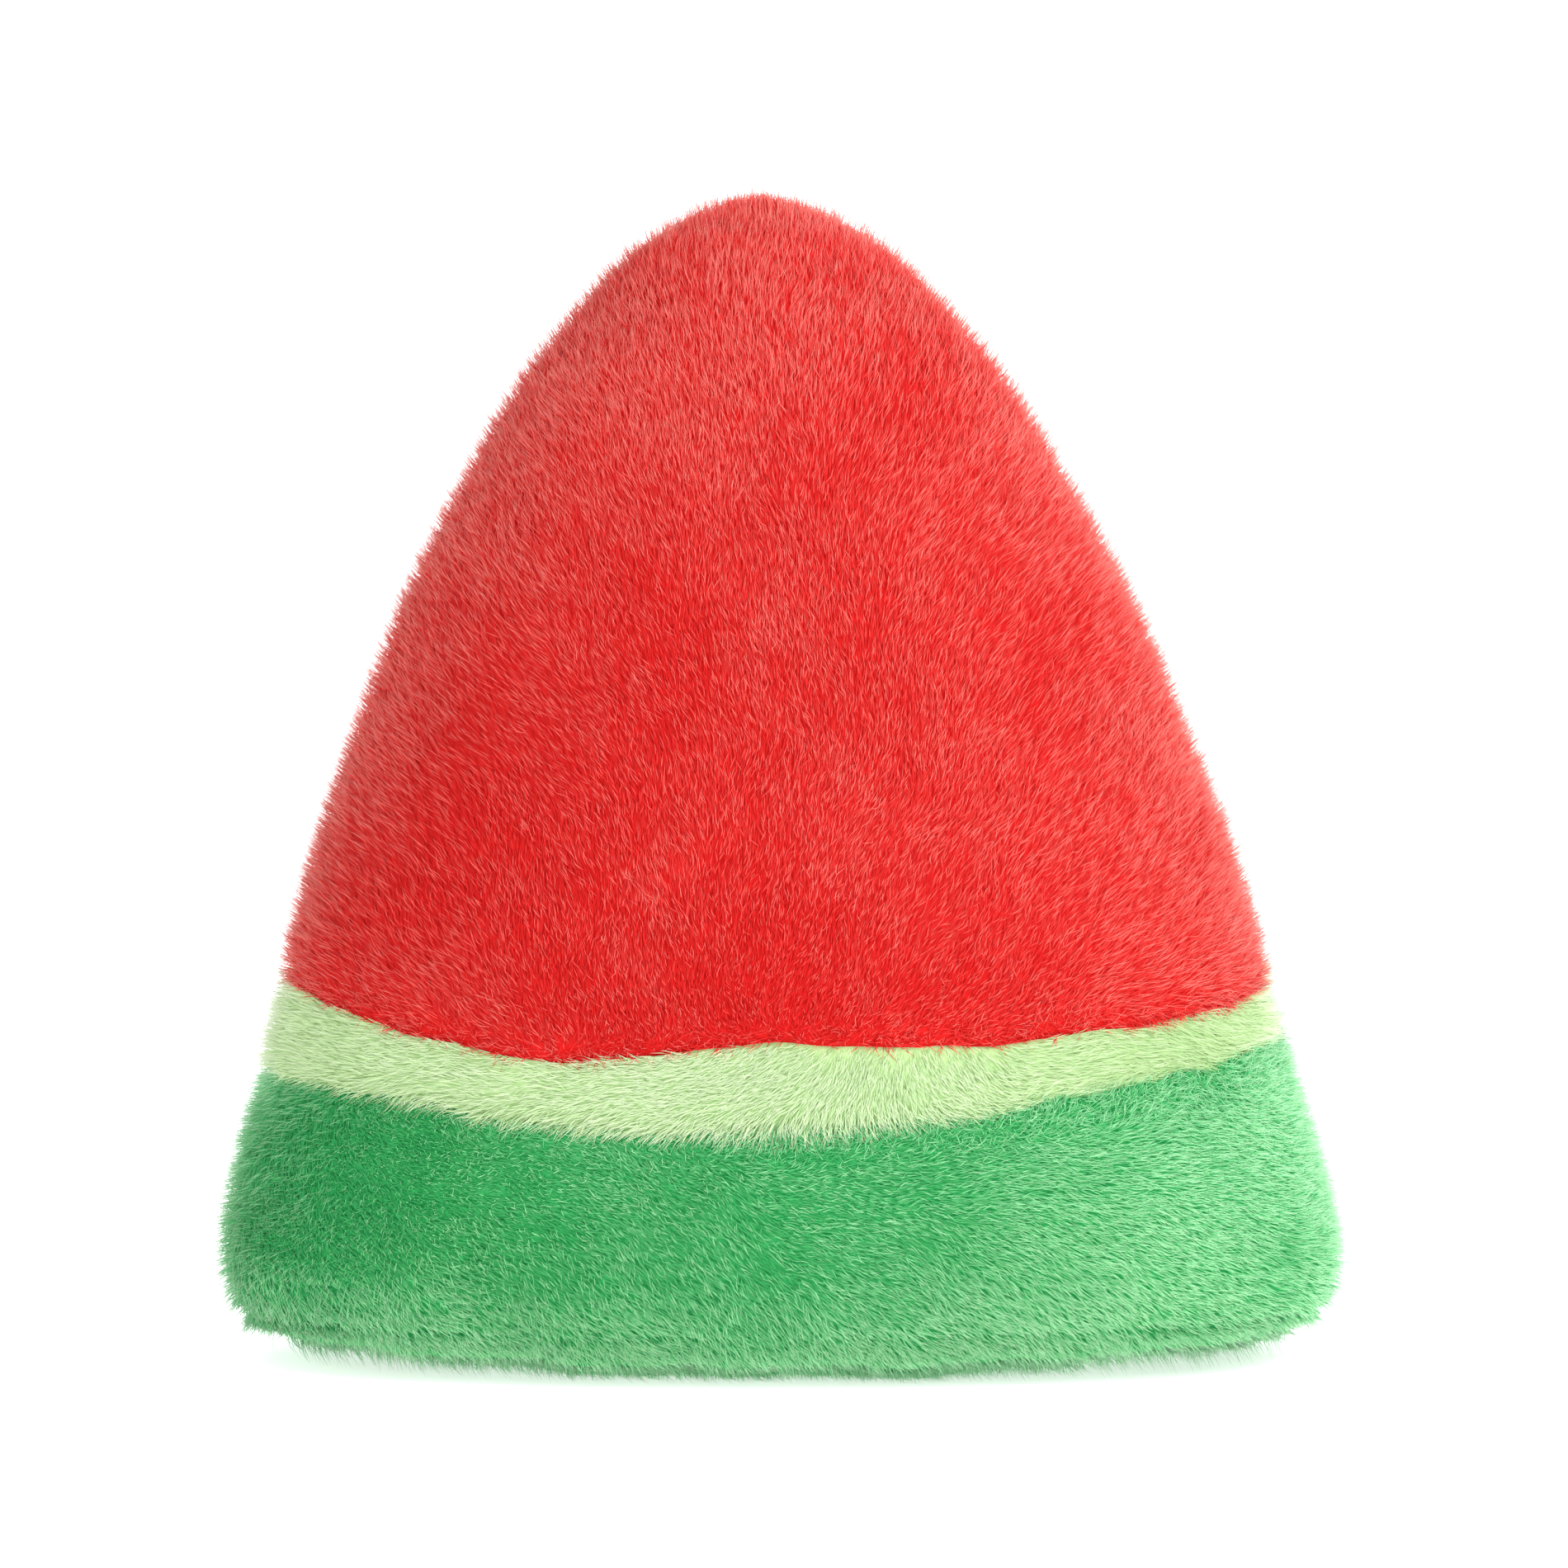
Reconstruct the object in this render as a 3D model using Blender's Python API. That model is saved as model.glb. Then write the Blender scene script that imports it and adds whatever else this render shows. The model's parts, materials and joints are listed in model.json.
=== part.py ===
"""A small stuffed plush toy in the shape of a watermelon wedge.

Six panels of pile fabric and a base are sewn into a puffed body, round a fibre filling and a bag
of bean pellets. Metres, +Z up, resting on Z = 0, with the shown face towards -Y.
"""

import math

import bmesh
import bpy

MM = 0.001

# The finished toy, to the tips of its pile
HEIGHT = 127.8 * MM
HALF_WIDTH = 60.8 * MM
HALF_DEPTH = 33.0 * MM

# Half width, half depth and height of the body's ribs, from the base seam up to the tip
RIBS = (
    (58.2, 27.2, 1.8),
    (60.2, 30.8, 5.4),
    (60.8, 32.4, 12.0),
    (59.0, 33.0, 21.5),
    (55.6, 32.4, 33.5),
    (52.4, 30.6, 48.5),
    (46.6, 27.6, 66.5),
    (38.6, 23.6, 86.0),
    (28.9, 18.6, 103.5),
    (20.8, 14.0, 114.4),
    (12.2, 9.0, 122.4),
    (0.0, 0.0, 127.8),
)
BASE_FULLNESS = 2.35  # superellipse exponent of the body's section at the base, and at the tip
TIP_FULLNESS = 2.05
TIP_LEAN = 2.6 * MM  # the tip stands this far to the left of the base
FLAT_SHARE = 0.52  # the base is flat out to this share of its outline
BASE_CURVE = 1.6  # and rises to its seam by this power of the way from there
ROCK_START = 0.25  # from this share of its half width the base rises towards its two ends
ROCK_CURVE = 1.1  # by this power of the way to them
END_LIFT = 2.9 * MM  # and by this much in all
RIGHT_LIFT = 0.7 * MM  # with this more at the right end
LIFT_REACH = 14 * MM  # the body above it rises less and less, up to this height

# Heights of the cross seams, evenly spaced round each side from its left end to its right end
FRONT_FLESH_SEAM = (41.3, 40.5, 37.8, 35.1, 37.0, 36.7, 38.2, 39.8, 40.7)
FRONT_SKIN_SEAM = (32.3, 32.0, 30.9, 28.1, 27.4, 28.8, 32.0, 34.6, 35.4)
BACK_FLESH_SEAM = (43.6, 41.4, 39.4, 37.6, 37.2, 37.8, 39.8, 42.6, 44.6)
BACK_SKIN_SEAM = (34.2, 32.0, 30.0, 28.6, 28.4, 29.6, 32.6, 36.6, 40.6)

# The right side seam comes this many degrees round to the front, most at this height
SEAM_TURN = 5.0
SEAM_TURN_HEIGHT = 30 * MM
SEAM_TURN_REACH = 26 * MM

# Fabric, thread and clearance
PLUSH = 3.5 * MM  # backing and pile together
GAP = 0.3 * MM
THREAD = 0.7 * MM
SEAM_ROOM = 2.6 * MM  # left between fabric and filling for the seams' stitching
THREAD_DEPTH = PLUSH + SEAM_ROOM / 2
FILLING_DEPTH = PLUSH + SEAM_ROOM
TIP_OPENING = 0.006  # the panels stop this share of a rib short of the tip

# The bag of bean pellets on the base
BAG = (36 * MM, 16.5 * MM, 9 * MM)  # half width, half depth, half height
BAG_CLOTH = 0.6 * MM
BAG_HEIGHT = FILLING_DEPTH + BAG[2]
POCKET_ROOM = 3 * GAP + 2 * THREAD  # left round the bag in the filling, for the bag's seam

# Opening in the base seam through which the toy is turned and filled, sewn up by hand
OPENING_FROM, OPENING_TO = math.radians(62), math.radians(118)
CLOSING_STITCHES = 9
LADDER_LEVELS = (-0.03, 0.008)  # the stitch crosses the base seam between these two levels

# Mesh density
PANEL_COLUMNS = 20
FLESH_ROWS, BAND_ROWS, SKIN_ROWS = 13, 2, 5
BASE_CELLS = (16, 14)
BAG_RINGS = (20, 8)  # segments round, and rings
POCKET_RINGS = (28, 12)
FILLING_RINGS = (28, 18)
THREAD_POINTS = 26
BAG_THREAD_POINTS = 40

FLESH_RED = (0.83, 0.045, 0.05)
RIND_PALE = (0.60, 0.80, 0.33)
SKIN_GREEN = (0.05, 0.46, 0.12)
FILLING_WHITE = (0.86, 0.86, 0.84)
BAG_WHITE = (0.80, 0.79, 0.76)
PELLET_WHITE = (0.74, 0.76, 0.78)

FRONT, BACK = "front", "back"


def catmull_rom(before, start, end, after, share):
    """The smooth curve from start to end, at a share of the way between them."""
    bend = 2 * before - 5 * start + 4 * end - after
    twist = 3 * (start - end) + after - before
    return start + 0.5 * share * (end - before + share * (bend + share * twist))


def span_at(share, spans):
    """The span that a share of the whole falls in, and how far along that span it is."""
    at = min(max(share, 0.0), 1.0) * spans
    span = min(int(at), spans - 1)
    return span, at - span


def smooth_through(values, share):
    """A smooth curve through evenly spaced values, at a share of its length."""
    last = len(values) - 1
    i, along = span_at(share, last)
    before, after = values[max(i - 1, 0)], values[min(i + 2, last)]
    return catmull_rom(before, values[i], values[i + 1], after, along)


def rib_at(level):
    """Half width, half depth and height of the body's section: 0 is the base seam, 1 the tip."""
    last = len(RIBS) - 1
    i, along = span_at(level, last)
    before = RIBS[max(i - 1, 0)]
    beyond_tip = (-RIBS[-2][0], -RIBS[-2][1], RIBS[-2][2])
    after = RIBS[i + 2] if i + 2 <= last else beyond_tip
    ends = zip(before, RIBS[i], RIBS[i + 1], after)
    return [catmull_rom(*four, along) * MM for four in ends]


def level_of(height):
    """The level at which the body's side has this height."""
    low, high = 0.0, 1.0
    for _ in range(40):
        middle = (low + high) / 2
        if rib_at(middle)[2] < height:
            low = middle
        else:
            high = middle
    return low


def lift_at(turn, share):
    """How far the ends lift the base, at a share of the way from its middle out to its seam."""
    sides = abs(math.cos(turn)) ** BASE_FULLNESS + abs(math.sin(turn)) ** BASE_FULLNESS
    across = share * math.cos(turn) * sides ** (-1 / BASE_FULLNESS)
    way = max(0.0, abs(across) - ROCK_START) / (1 - ROCK_START)
    most = END_LIFT + (RIGHT_LIFT if across > 0 else 0)
    return most * way**ROCK_CURVE


def skin_point(turn, level, depth=0.0):
    """A point of the body: turn goes round it from +X, and level runs from -1 at the middle of
    the base, over 0 at the base seam, to 1 at the tip. Depth goes in from the tips of the pile."""
    half_width, half_depth, height = rib_at(level)
    share = min(1.0, 1 + level)
    if level < 0:
        half_width *= share
        half_depth *= share
        height *= max(0.0, (share - FLAT_SHARE) / (1 - FLAT_SHARE)) ** BASE_CURVE
    height += lift_at(turn, share) * max(0.0, 1 - height / LIFT_REACH) ** 2
    rise = height / HEIGHT
    fullness = BASE_FULLNESS + (TIP_FULLNESS - BASE_FULLNESS) * rise
    sides = abs(math.cos(turn)) ** fullness + abs(math.sin(turn)) ** fullness
    reach = sides ** (-1 / fullness)
    x = half_width * math.cos(turn) * reach
    y = half_depth * math.sin(turn) * reach
    x *= 1 - depth / HALF_WIDTH
    y *= 1 - depth / HALF_DEPTH
    z = HEIGHT / 2 + (height - HEIGHT / 2) * (1 - 2 * depth / HEIGHT)
    return (x - TIP_LEAN * rise, y, z)


def right_seam_turn(level):
    """Where the right side seam runs: a little to the front of the body's widest line."""
    away = (rib_at(level)[2] - SEAM_TURN_HEIGHT) / SEAM_TURN_REACH
    return -math.radians(SEAM_TURN) * math.exp(-(away**2))


def turn_between_seams(side, share, level, margin):
    """The turn at a share of the way from the left side seam to the right one, on one side.
    The margin is kept from both seams."""
    half_depth = max(rib_at(level)[1], margin)
    kept = math.asin(min(0.5, margin / half_depth))
    if side == FRONT:
        left, right = -math.pi + kept, right_seam_turn(level) - kept
    else:
        left, right = math.pi - kept, right_seam_turn(level) + kept
    return left + (right - left) * share


def seam_level(heights, share):
    return level_of(smooth_through(heights, share) * MM)


def principled(name, colour, roughness):
    material = bpy.data.materials.new(name)
    material.use_nodes = True
    shader = material.node_tree.nodes["Principled BSDF"]
    shader.inputs["Base Color"].default_value = (*colour, 1)
    shader.inputs["Roughness"].default_value = roughness
    shader.inputs["Metallic"].default_value = 0.0
    return material


def add_object(name, data, material, collection):
    piece = bpy.data.objects.new(name, data)
    piece.data.materials.append(material)
    collection.objects.link(piece)
    return piece


def face_outwards(form):
    """Makes a closed form's faces agree, and then point out."""
    bmesh.ops.recalc_face_normals(form, faces=form.faces)
    if form.calc_volume(signed=True) < 0:
        bmesh.ops.reverse_faces(form, faces=form.faces)


def finished_mesh(form, name):
    face_outwards(form)
    mesh = bpy.data.meshes.new(name)
    form.to_mesh(mesh)
    form.free()
    mesh.shade_smooth()
    mesh.set_sharp_from_angle(angle=math.radians(40))
    return mesh


def second_layer(form):
    """Doubles an open surface into two layers closed at their rim, and returns the inner points."""
    made = bmesh.ops.extrude_face_region(form, geom=list(form.faces), use_keep_orig=True)
    return {item for item in made["geom"] if isinstance(item, bmesh.types.BMVert)}


def slab_mesh(name, columns, rows, shape):
    """A grid of two layers, closed at its rim, whose points shape(across, up, layer) places."""
    form = bmesh.new()
    bmesh.ops.create_grid(form, x_segments=columns, y_segments=rows, size=0.5)
    inner = second_layer(form)
    for vert in form.verts:
        layer = 1 if vert in inner else 0
        vert.co = shape(vert.co.x + 0.5, vert.co.y + 0.5, layer)
    return finished_mesh(form, name)


def plush_panel(name, side, rows, bottom, top, material, collection):
    """One panel of pile fabric between two lines round a side: bottom and top give the level at
    a share of the way across."""
    edge = GAP / 2

    def place(across, up, layer):
        low, high = bottom(across), top(across)
        level = low + (high - low) * up
        turn = turn_between_seams(side, across, level, edge)
        return skin_point(turn, level, PLUSH * layer)

    return add_object(name, slab_mesh(name, PANEL_COLUMNS, rows, place), material, collection)


def side_panels(side, flesh_seam, skin_seam, materials, collection):
    """The flesh, rind and skin panels of the front or the back."""
    low, high = 20 * MM, 50 * MM  # the cross seams lie between these heights
    edge = (level_of(high) - level_of(low)) / (high - low) * GAP / 2
    red, pale, green = materials
    plush_panel(
        side + "_flesh_panel", side, FLESH_ROWS,
        lambda across: seam_level(flesh_seam, across) + edge,
        lambda across: 1 - TIP_OPENING,
        red, collection,
    )
    plush_panel(
        side + "_rind_band", side, BAND_ROWS,
        lambda across: seam_level(skin_seam, across) + edge,
        lambda across: seam_level(flesh_seam, across) - edge,
        pale, collection,
    )
    plush_panel(
        side + "_skin_panel", side, SKIN_ROWS,
        lambda across: edge,
        lambda across: seam_level(skin_seam, across) - edge,
        green, collection,
    )


def base_panel(material, collection):
    """The oblong panel under the toy, flat where it stands."""
    rim = 1 - GAP / 2 / (RIBS[0][1] * MM)

    def place(across, up, layer):
        u, v = 2 * across - 1, 2 * up - 1
        share = max(abs(u), abs(v)) * rim
        return skin_point(math.atan2(v, u), share - 1, PLUSH * layer)

    mesh = slab_mesh("base_panel", *BASE_CELLS, place)
    return add_object("base_panel", mesh, material, collection)


def thread(name, points, material, collection, closed=False):
    """A line of sewing thread along a list of points."""
    curve = bpy.data.curves.new(name, "CURVE")
    curve.dimensions = "3D"
    curve.bevel_depth = THREAD / 2
    curve.bevel_resolution = 1
    curve.use_fill_caps = True
    spline = curve.splines.new("POLY")
    spline.points.add(len(points) - 1)
    for point, place in zip(spline.points, points):
        point.co = (*place, 1)
    spline.use_cyclic_u = closed
    return add_object(name, curve, material, collection)


def cross_seam_thread(side, which, heights, material, collection):
    """The stitching between two panels of one side, which stops short of the side seams."""
    points = []
    for i in range(THREAD_POINTS):
        share = i / (THREAD_POINTS - 1)
        level = seam_level(heights, share)
        turn = turn_between_seams(side, share, level, 3 * THREAD)
        points.append(skin_point(turn, level, THREAD_DEPTH))
    thread(f"{side}_{which}_seam_thread", points, material, collection)


def side_seam_thread(material, collection):
    """The stitching that joins front to back, up the left side, over the tip and down the right."""
    lowest = 4 * THREAD / HEIGHT
    points = []
    for i in range(THREAD_POINTS):
        level = lowest + (1 - lowest) * i / THREAD_POINTS
        points.append(skin_point(math.pi, level, THREAD_DEPTH))
    points.append(skin_point(0, 1, THREAD_DEPTH))
    for i in reversed(range(THREAD_POINTS)):
        level = lowest + (1 - lowest) * i / THREAD_POINTS
        points.append(skin_point(right_seam_turn(level), level, THREAD_DEPTH))
    thread("side_seam_thread", points, material, collection)


def base_seam_threads(material, collection):
    """The machine stitching round the base, and the ladder stitch that closes its opening."""
    clear = 2 * THREAD / (RIBS[0][0] * MM)
    start, end = OPENING_TO + clear, OPENING_FROM - clear + 2 * math.pi
    points = []
    for i in range(2 * THREAD_POINTS):
        turn = start + (end - start) * i / (2 * THREAD_POINTS - 1)
        points.append(skin_point(turn, 0, THREAD_DEPTH))
    thread("base_seam_thread", points, material, collection)
    points = []
    for i in range(2 * CLOSING_STITCHES):
        turn = OPENING_FROM + (OPENING_TO - OPENING_FROM) * i / (2 * CLOSING_STITCHES - 1)
        level = LADDER_LEVELS[i // 2 % 2]
        points.append(skin_point(turn, level, THREAD_DEPTH))
    thread("closing_stitch", points, material, collection)


def turn_and_rise(vert):
    """A sphere point's longitude, and its latitude from -1 to 1."""
    turn = math.atan2(vert.co.y, vert.co.x)
    rise = 2 / math.pi * math.asin(max(-1.0, min(1.0, vert.co.z)))
    return turn, rise


def ball_mesh(name, segments, rings, shape):
    """A sphere whose points shape(turn, rise) places."""
    form = bmesh.new()
    bmesh.ops.create_uvsphere(form, u_segments=segments, v_segments=rings, radius=1)
    for vert in form.verts:
        vert.co = shape(*turn_and_rise(vert))
    return finished_mesh(form, name)


def bag_point(turn, rise, clearance):
    """A point of the pillow that the bag of pellets makes, grown by a clearance."""
    lie = math.cos(rise * math.pi / 2) ** 0.8
    stand = math.copysign(abs(math.sin(rise * math.pi / 2)) ** 0.9, rise)
    x = (BAG[0] + clearance) * lie * math.cos(turn)
    y = (BAG[1] + clearance) * lie * math.sin(turn)
    return (x, y, BAG_HEIGHT + (BAG[2] + clearance) * stand)


def bag_half(name, up, material, collection):
    """The upper or the lower cloth of the bag, a shallow bowl open at the bag's seam."""
    form = bmesh.new()
    bmesh.ops.create_uvsphere(form, u_segments=BAG_RINGS[0], v_segments=BAG_RINGS[1], radius=1)
    lost = [v for v in form.verts if v.co.z * up < -0.01]
    bmesh.ops.delete(form, geom=lost, context="VERTS")
    inner = second_layer(form)
    for vert in form.verts:
        layer = 1 if vert in inner else 0
        x, y, z = bag_point(*turn_and_rise(vert), -BAG_CLOTH * layer)
        vert.co = (x, y, z + up * GAP / 2)
    add_object(name, finished_mesh(form, name), material, collection)


def pellet_bag(cloth, pellet, stitching, collection):
    bag_half("pellet_bag_top", 1, cloth, collection)
    bag_half("pellet_bag_bottom", -1, cloth, collection)
    inside = -BAG_CLOTH - 2 * GAP
    mesh = ball_mesh("bean_pellets", *BAG_RINGS, lambda turn, rise: bag_point(turn, rise, inside))
    add_object("bean_pellets", mesh, pellet, collection)
    step = 2 * math.pi / BAG_THREAD_POINTS
    ring = [bag_point(step * i, 0, GAP + THREAD / 2) for i in range(BAG_THREAD_POINTS)]
    thread("pellet_bag_thread", ring, stitching, collection, closed=True)


def filling_level(rise):
    """The body's level for a rise from -1 to 1, with a third of the rings on the base."""
    rim = -1 / 3
    if rise < rim:
        return (rise - rim) / (1 + rim)
    return (rise - rim) / (1 - rim)


def pocket_point(turn, rise):
    """A point of the hollow round the bag, which runs straight down out of the filling."""
    x, y, z = bag_point(turn, max(rise, 0.0), POCKET_ROOM)
    if rise < 0:
        z = BAG_HEIGHT * (1 + 2 * rise)
    if rise <= -1:
        x, y = 0.0, 0.0
    return (x, y, z)


def fibre_filling(material, collection, cutters):
    """The loose filling, which takes up the body's inside above and around the bag."""
    mesh = ball_mesh(
        "fibre_filling", *FILLING_RINGS,
        lambda turn, rise: skin_point(turn, filling_level(rise), FILLING_DEPTH),
    )
    filling = add_object("fibre_filling", mesh, material, collection)
    hollow = ball_mesh("bag_pocket", *POCKET_RINGS, pocket_point)
    cutter = add_object("bag_pocket", hollow, material, cutters)
    cutter.hide_render = True
    cutter.display_type = "WIRE"
    cut = filling.modifiers.new("pocket", "BOOLEAN")
    cut.operation = "DIFFERENCE"
    cut.solver = "EXACT"
    cut.object = cutter


def main():
    for item in list(bpy.data.objects):
        bpy.data.objects.remove(item)
    toy = bpy.data.collections.new("plush_watermelon_wedge")
    cutters = bpy.data.collections.new("cutters")
    bpy.context.scene.collection.children.link(toy)
    bpy.context.scene.collection.children.link(cutters)

    red = principled("flesh_plush", FLESH_RED, 0.9)
    pale = principled("rind_plush", RIND_PALE, 0.9)
    green = principled("skin_plush", SKIN_GREEN, 0.9)
    fibre = principled("polyester_fibre", FILLING_WHITE, 0.95)
    cloth = principled("bag_cloth", BAG_WHITE, 0.85)
    pellet = principled("pellets", PELLET_WHITE, 0.45)
    red_thread = principled("red_thread", FLESH_RED, 0.6)
    green_thread = principled("green_thread", SKIN_GREEN, 0.6)
    white_thread = principled("white_thread", BAG_WHITE, 0.6)

    plushes = (red, pale, green)
    side_panels(FRONT, FRONT_FLESH_SEAM, FRONT_SKIN_SEAM, plushes, toy)
    side_panels(BACK, BACK_FLESH_SEAM, BACK_SKIN_SEAM, plushes, toy)
    base_panel(green, toy)
    cross_seam_thread(FRONT, "flesh", FRONT_FLESH_SEAM, red_thread, toy)
    cross_seam_thread(FRONT, "skin", FRONT_SKIN_SEAM, green_thread, toy)
    cross_seam_thread(BACK, "flesh", BACK_FLESH_SEAM, red_thread, toy)
    cross_seam_thread(BACK, "skin", BACK_SKIN_SEAM, green_thread, toy)
    side_seam_thread(red_thread, toy)
    base_seam_threads(green_thread, toy)
    pellet_bag(cloth, pellet, white_thread, toy)
    fibre_filling(fibre, toy, cutters)


main()
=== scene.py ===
import json
import math

import bmesh
import bpy
import numpy as np
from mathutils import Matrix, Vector
from mathutils.kdtree import KDTree


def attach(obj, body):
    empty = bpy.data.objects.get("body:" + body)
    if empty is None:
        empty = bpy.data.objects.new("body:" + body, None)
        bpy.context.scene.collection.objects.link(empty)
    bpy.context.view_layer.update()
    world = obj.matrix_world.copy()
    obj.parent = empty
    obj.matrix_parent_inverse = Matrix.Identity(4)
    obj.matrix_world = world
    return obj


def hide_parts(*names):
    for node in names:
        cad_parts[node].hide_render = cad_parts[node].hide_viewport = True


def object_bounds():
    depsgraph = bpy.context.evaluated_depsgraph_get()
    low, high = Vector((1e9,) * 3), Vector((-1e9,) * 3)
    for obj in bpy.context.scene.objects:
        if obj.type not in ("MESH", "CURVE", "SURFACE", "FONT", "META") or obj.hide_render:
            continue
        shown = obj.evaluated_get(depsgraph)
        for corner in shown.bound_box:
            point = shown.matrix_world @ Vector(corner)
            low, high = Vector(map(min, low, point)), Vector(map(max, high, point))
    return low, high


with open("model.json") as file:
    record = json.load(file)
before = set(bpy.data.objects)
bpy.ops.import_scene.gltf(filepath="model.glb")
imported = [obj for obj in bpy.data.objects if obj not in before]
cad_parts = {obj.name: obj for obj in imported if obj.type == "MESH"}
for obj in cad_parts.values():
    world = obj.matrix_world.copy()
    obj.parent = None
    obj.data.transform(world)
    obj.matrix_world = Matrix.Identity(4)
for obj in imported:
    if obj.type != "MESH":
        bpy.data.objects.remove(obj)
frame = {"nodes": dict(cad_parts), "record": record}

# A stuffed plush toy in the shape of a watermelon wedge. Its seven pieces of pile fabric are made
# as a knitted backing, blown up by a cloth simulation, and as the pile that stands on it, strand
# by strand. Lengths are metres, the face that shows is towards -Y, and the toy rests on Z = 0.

MM = 0.001
cad_low, cad_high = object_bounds()

# The finished toy, to the tips of its pile
HEIGHT = cad_high.z - cad_low.z
HALF_WIDTH = 60.8 * MM

# Half width, half depth and height of the body's ribs, from the base seam up to the tip
RIBS = MM * np.array((
    (58.2, 27.2, 1.8), (60.2, 30.8, 5.4), (60.8, 32.4, 12.0), (59.0, 33.0, 21.5),
    (55.6, 32.4, 33.5), (52.4, 30.6, 48.5), (46.6, 27.6, 66.5), (38.6, 23.6, 86.0),
    (28.9, 18.6, 103.5), (20.8, 14.0, 114.4), (12.2, 9.0, 122.4), (0.0, 0.0, 127.8),
))
BASE_FULLNESS = 2.35  # how square the body is, seen from above: 2 is an ellipse
TIP_FULLNESS = 2.05
TIP_LEAN = 2.6 * MM  # the tip stands this far to the left of the base
FLAT_SHARE = 0.52  # the base is level up to this share of the way out to its seam
BASE_CURVE = 1.6  # and rises from there by this power of the way
ROCK_START = 0.25  # from this share of its half width the base rises towards its two ends
ROCK_CURVE = 1.1  # by this power of the way to them
END_LIFT = 2.9 * MM  # and by this much in all
RIGHT_LIFT = 0.7 * MM  # with this more at the right end
LIFT_REACH = 14 * MM  # the body above it rises less and less, up to this height
UNDER_SHARE = 0.12  # this share of the base, from its seam, turns to face straight down
MIDDLE = np.array((0, 0, 0.35 * HEIGHT))  # a point well inside

# Heights of the cross seams, evenly spaced round each side from its left end to its right end
FLESH_SEAM = {
    "front": MM * np.array((41.3, 40.5, 37.8, 35.1, 37.0, 36.7, 38.2, 39.8, 40.7)),
    "back": MM * np.array((43.6, 41.4, 39.4, 37.6, 37.2, 37.8, 39.8, 42.6, 44.6)),
}
SKIN_SEAM = {
    "front": MM * np.array((32.3, 32.0, 30.9, 28.1, 27.4, 28.8, 32.0, 34.6, 35.4)),
    "back": MM * np.array((34.2, 32.0, 30.0, 28.6, 28.4, 29.6, 32.6, 36.6, 40.6)),
}
# They wander by this, in waves: radians to the way across, radians to a metre of height, share
SEAM_WANDER = 0.12 * MM
SEAM_WAVES = ((61, 4e3, 1), (113, 9e3, 0.7))
SEAM_SAMPLES = 160
TIP_LEVEL = 0.998  # both flesh panels end here, all but closing over the tip

# The right side seam comes this far round to the front, most at this height
SEAM_TURN = math.radians(5)
SEAM_TURN_HEIGHT = 30 * MM
SEAM_TURN_REACH = 26 * MM

# Fabric
BACKING_DEPTH = 3.8 * MM  # from the tips of the pile in to the backing, before it is blown up
BACKING = 0.5 * MM  # thickness of the knit
UNDERFUR = 2.35 * MM  # height of the dense short pile's top over the knit
UNDERFUR_FOOT = 0.1 * MM  # and of its underside
UNDERFUR_WAVE = 0.05 * MM  # its top waves by this, at these two lengths
UNDERFUR_WAVES = (2.6 * MM, 1.1 * MM)
SHEET_CELLS = {"flesh": (120, 60), "rind": (120, 8), "skin": (120, 22), "base": (56, 40)}
TUCK = 0.9 * MM  # the fabric turns in by this at the seams between panels
TUCK_REACH = 1.4 * MM
LOWEST = 0.05 * MM  # nothing comes closer to the ground

# Small puckers draw the fabric up along the base seam: height, length, and the reach up the side
PUCKER, PUCKER_LENGTH, PUCKER_REACH = 0.22 * MM, 2.6 * MM, 9 * MM
PUCKER_WAVES = ((1, 0, 1), (1.9, 2, 0.6))  # waves to a length, start and share
PUCKER_DRAW = 1.3  # this many puckers' height, with no waves
PUCKER_SHARE = 0.3  # under the base they fade out between this share of the way in and twice it

# Cloth simulation, run on a copy ten times the size, where the solver's defaults hold
BLOW_SCALE = 10
BLOW_COLUMNS = 96
BLOW_BASE_ROWS, BLOW_SIDE_ROWS = 14, 52
BLOW_FRAMES = 20
BLOW_SMOOTHING = 4  # times that the blown shape is smoothed
SEAM_HOLD = 2.5 * MM  # the seams hold the fabric this far round them
MOST_PUFF = 1.6 * MM
CLOTH = {
    "quality": 8,
    "mass": 0.3,
    "tension_stiffness": 12,
    "compression_stiffness": 12,
    "shear_stiffness": 4,
    "bending_stiffness": 0.3,
    "shrink_min": -0.035,  # the cloth is cut this much larger than the body
    "use_pressure": True,
    "uniform_pressure_force": 4,
}

# Pile: strands to a square millimetre, length, lean at the root and at the tip in degrees
PILE = {
    "flesh": (15.5, 2.25 * MM, 42, 72),
    "rind": (16.0, 2.3 * MM, 48, 78),
    "skin": (15.5, 2.2 * MM, 42, 72),
    "base": (12.0, 2.4 * MM, 50, 80),
}
SEED = 11
MOST_STRANDS = 19500  # in one piece
GOLDEN_ACROSS, GOLDEN_UP = 0.7548776662466927, 0.5698402909980532  # steps that spread roots evenly
PROBES = np.linspace(0.02, 0.98, 40)  # where a panel's cover is looked at for its densest place
PROBE_MARGIN = 1.05
BASE_INNER, BASE_THINNED = -0.25, 0.5  # inside this level the base keeps this share of its strands

STRAND = 0.048 * MM  # half width at the root
STRAND_WIDTHS = (0.85, 1.2)  # between these shares of it
STRAND_MIDDLE = 0.95  # the share left at the bend
BEND_AT = 0.48  # of the length
ROOT_SUNK = 0.35 * MM  # roots start this far down in the underfur
SHORTER = 0.2  # strands that stand straight up, where the lay can't hold, are shorter by this
GRIP = 0.35  # the lay holds where this much of the combed way lies along the fabric
ROOT_LEANS, TIP_LEANS = (5, 75), (15, 84)  # least and most, in degrees
SOFTNESS = {"flesh": 0.76, "rind": 0.86, "skin": 0.76}  # how far it takes the fabric's shading

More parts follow.
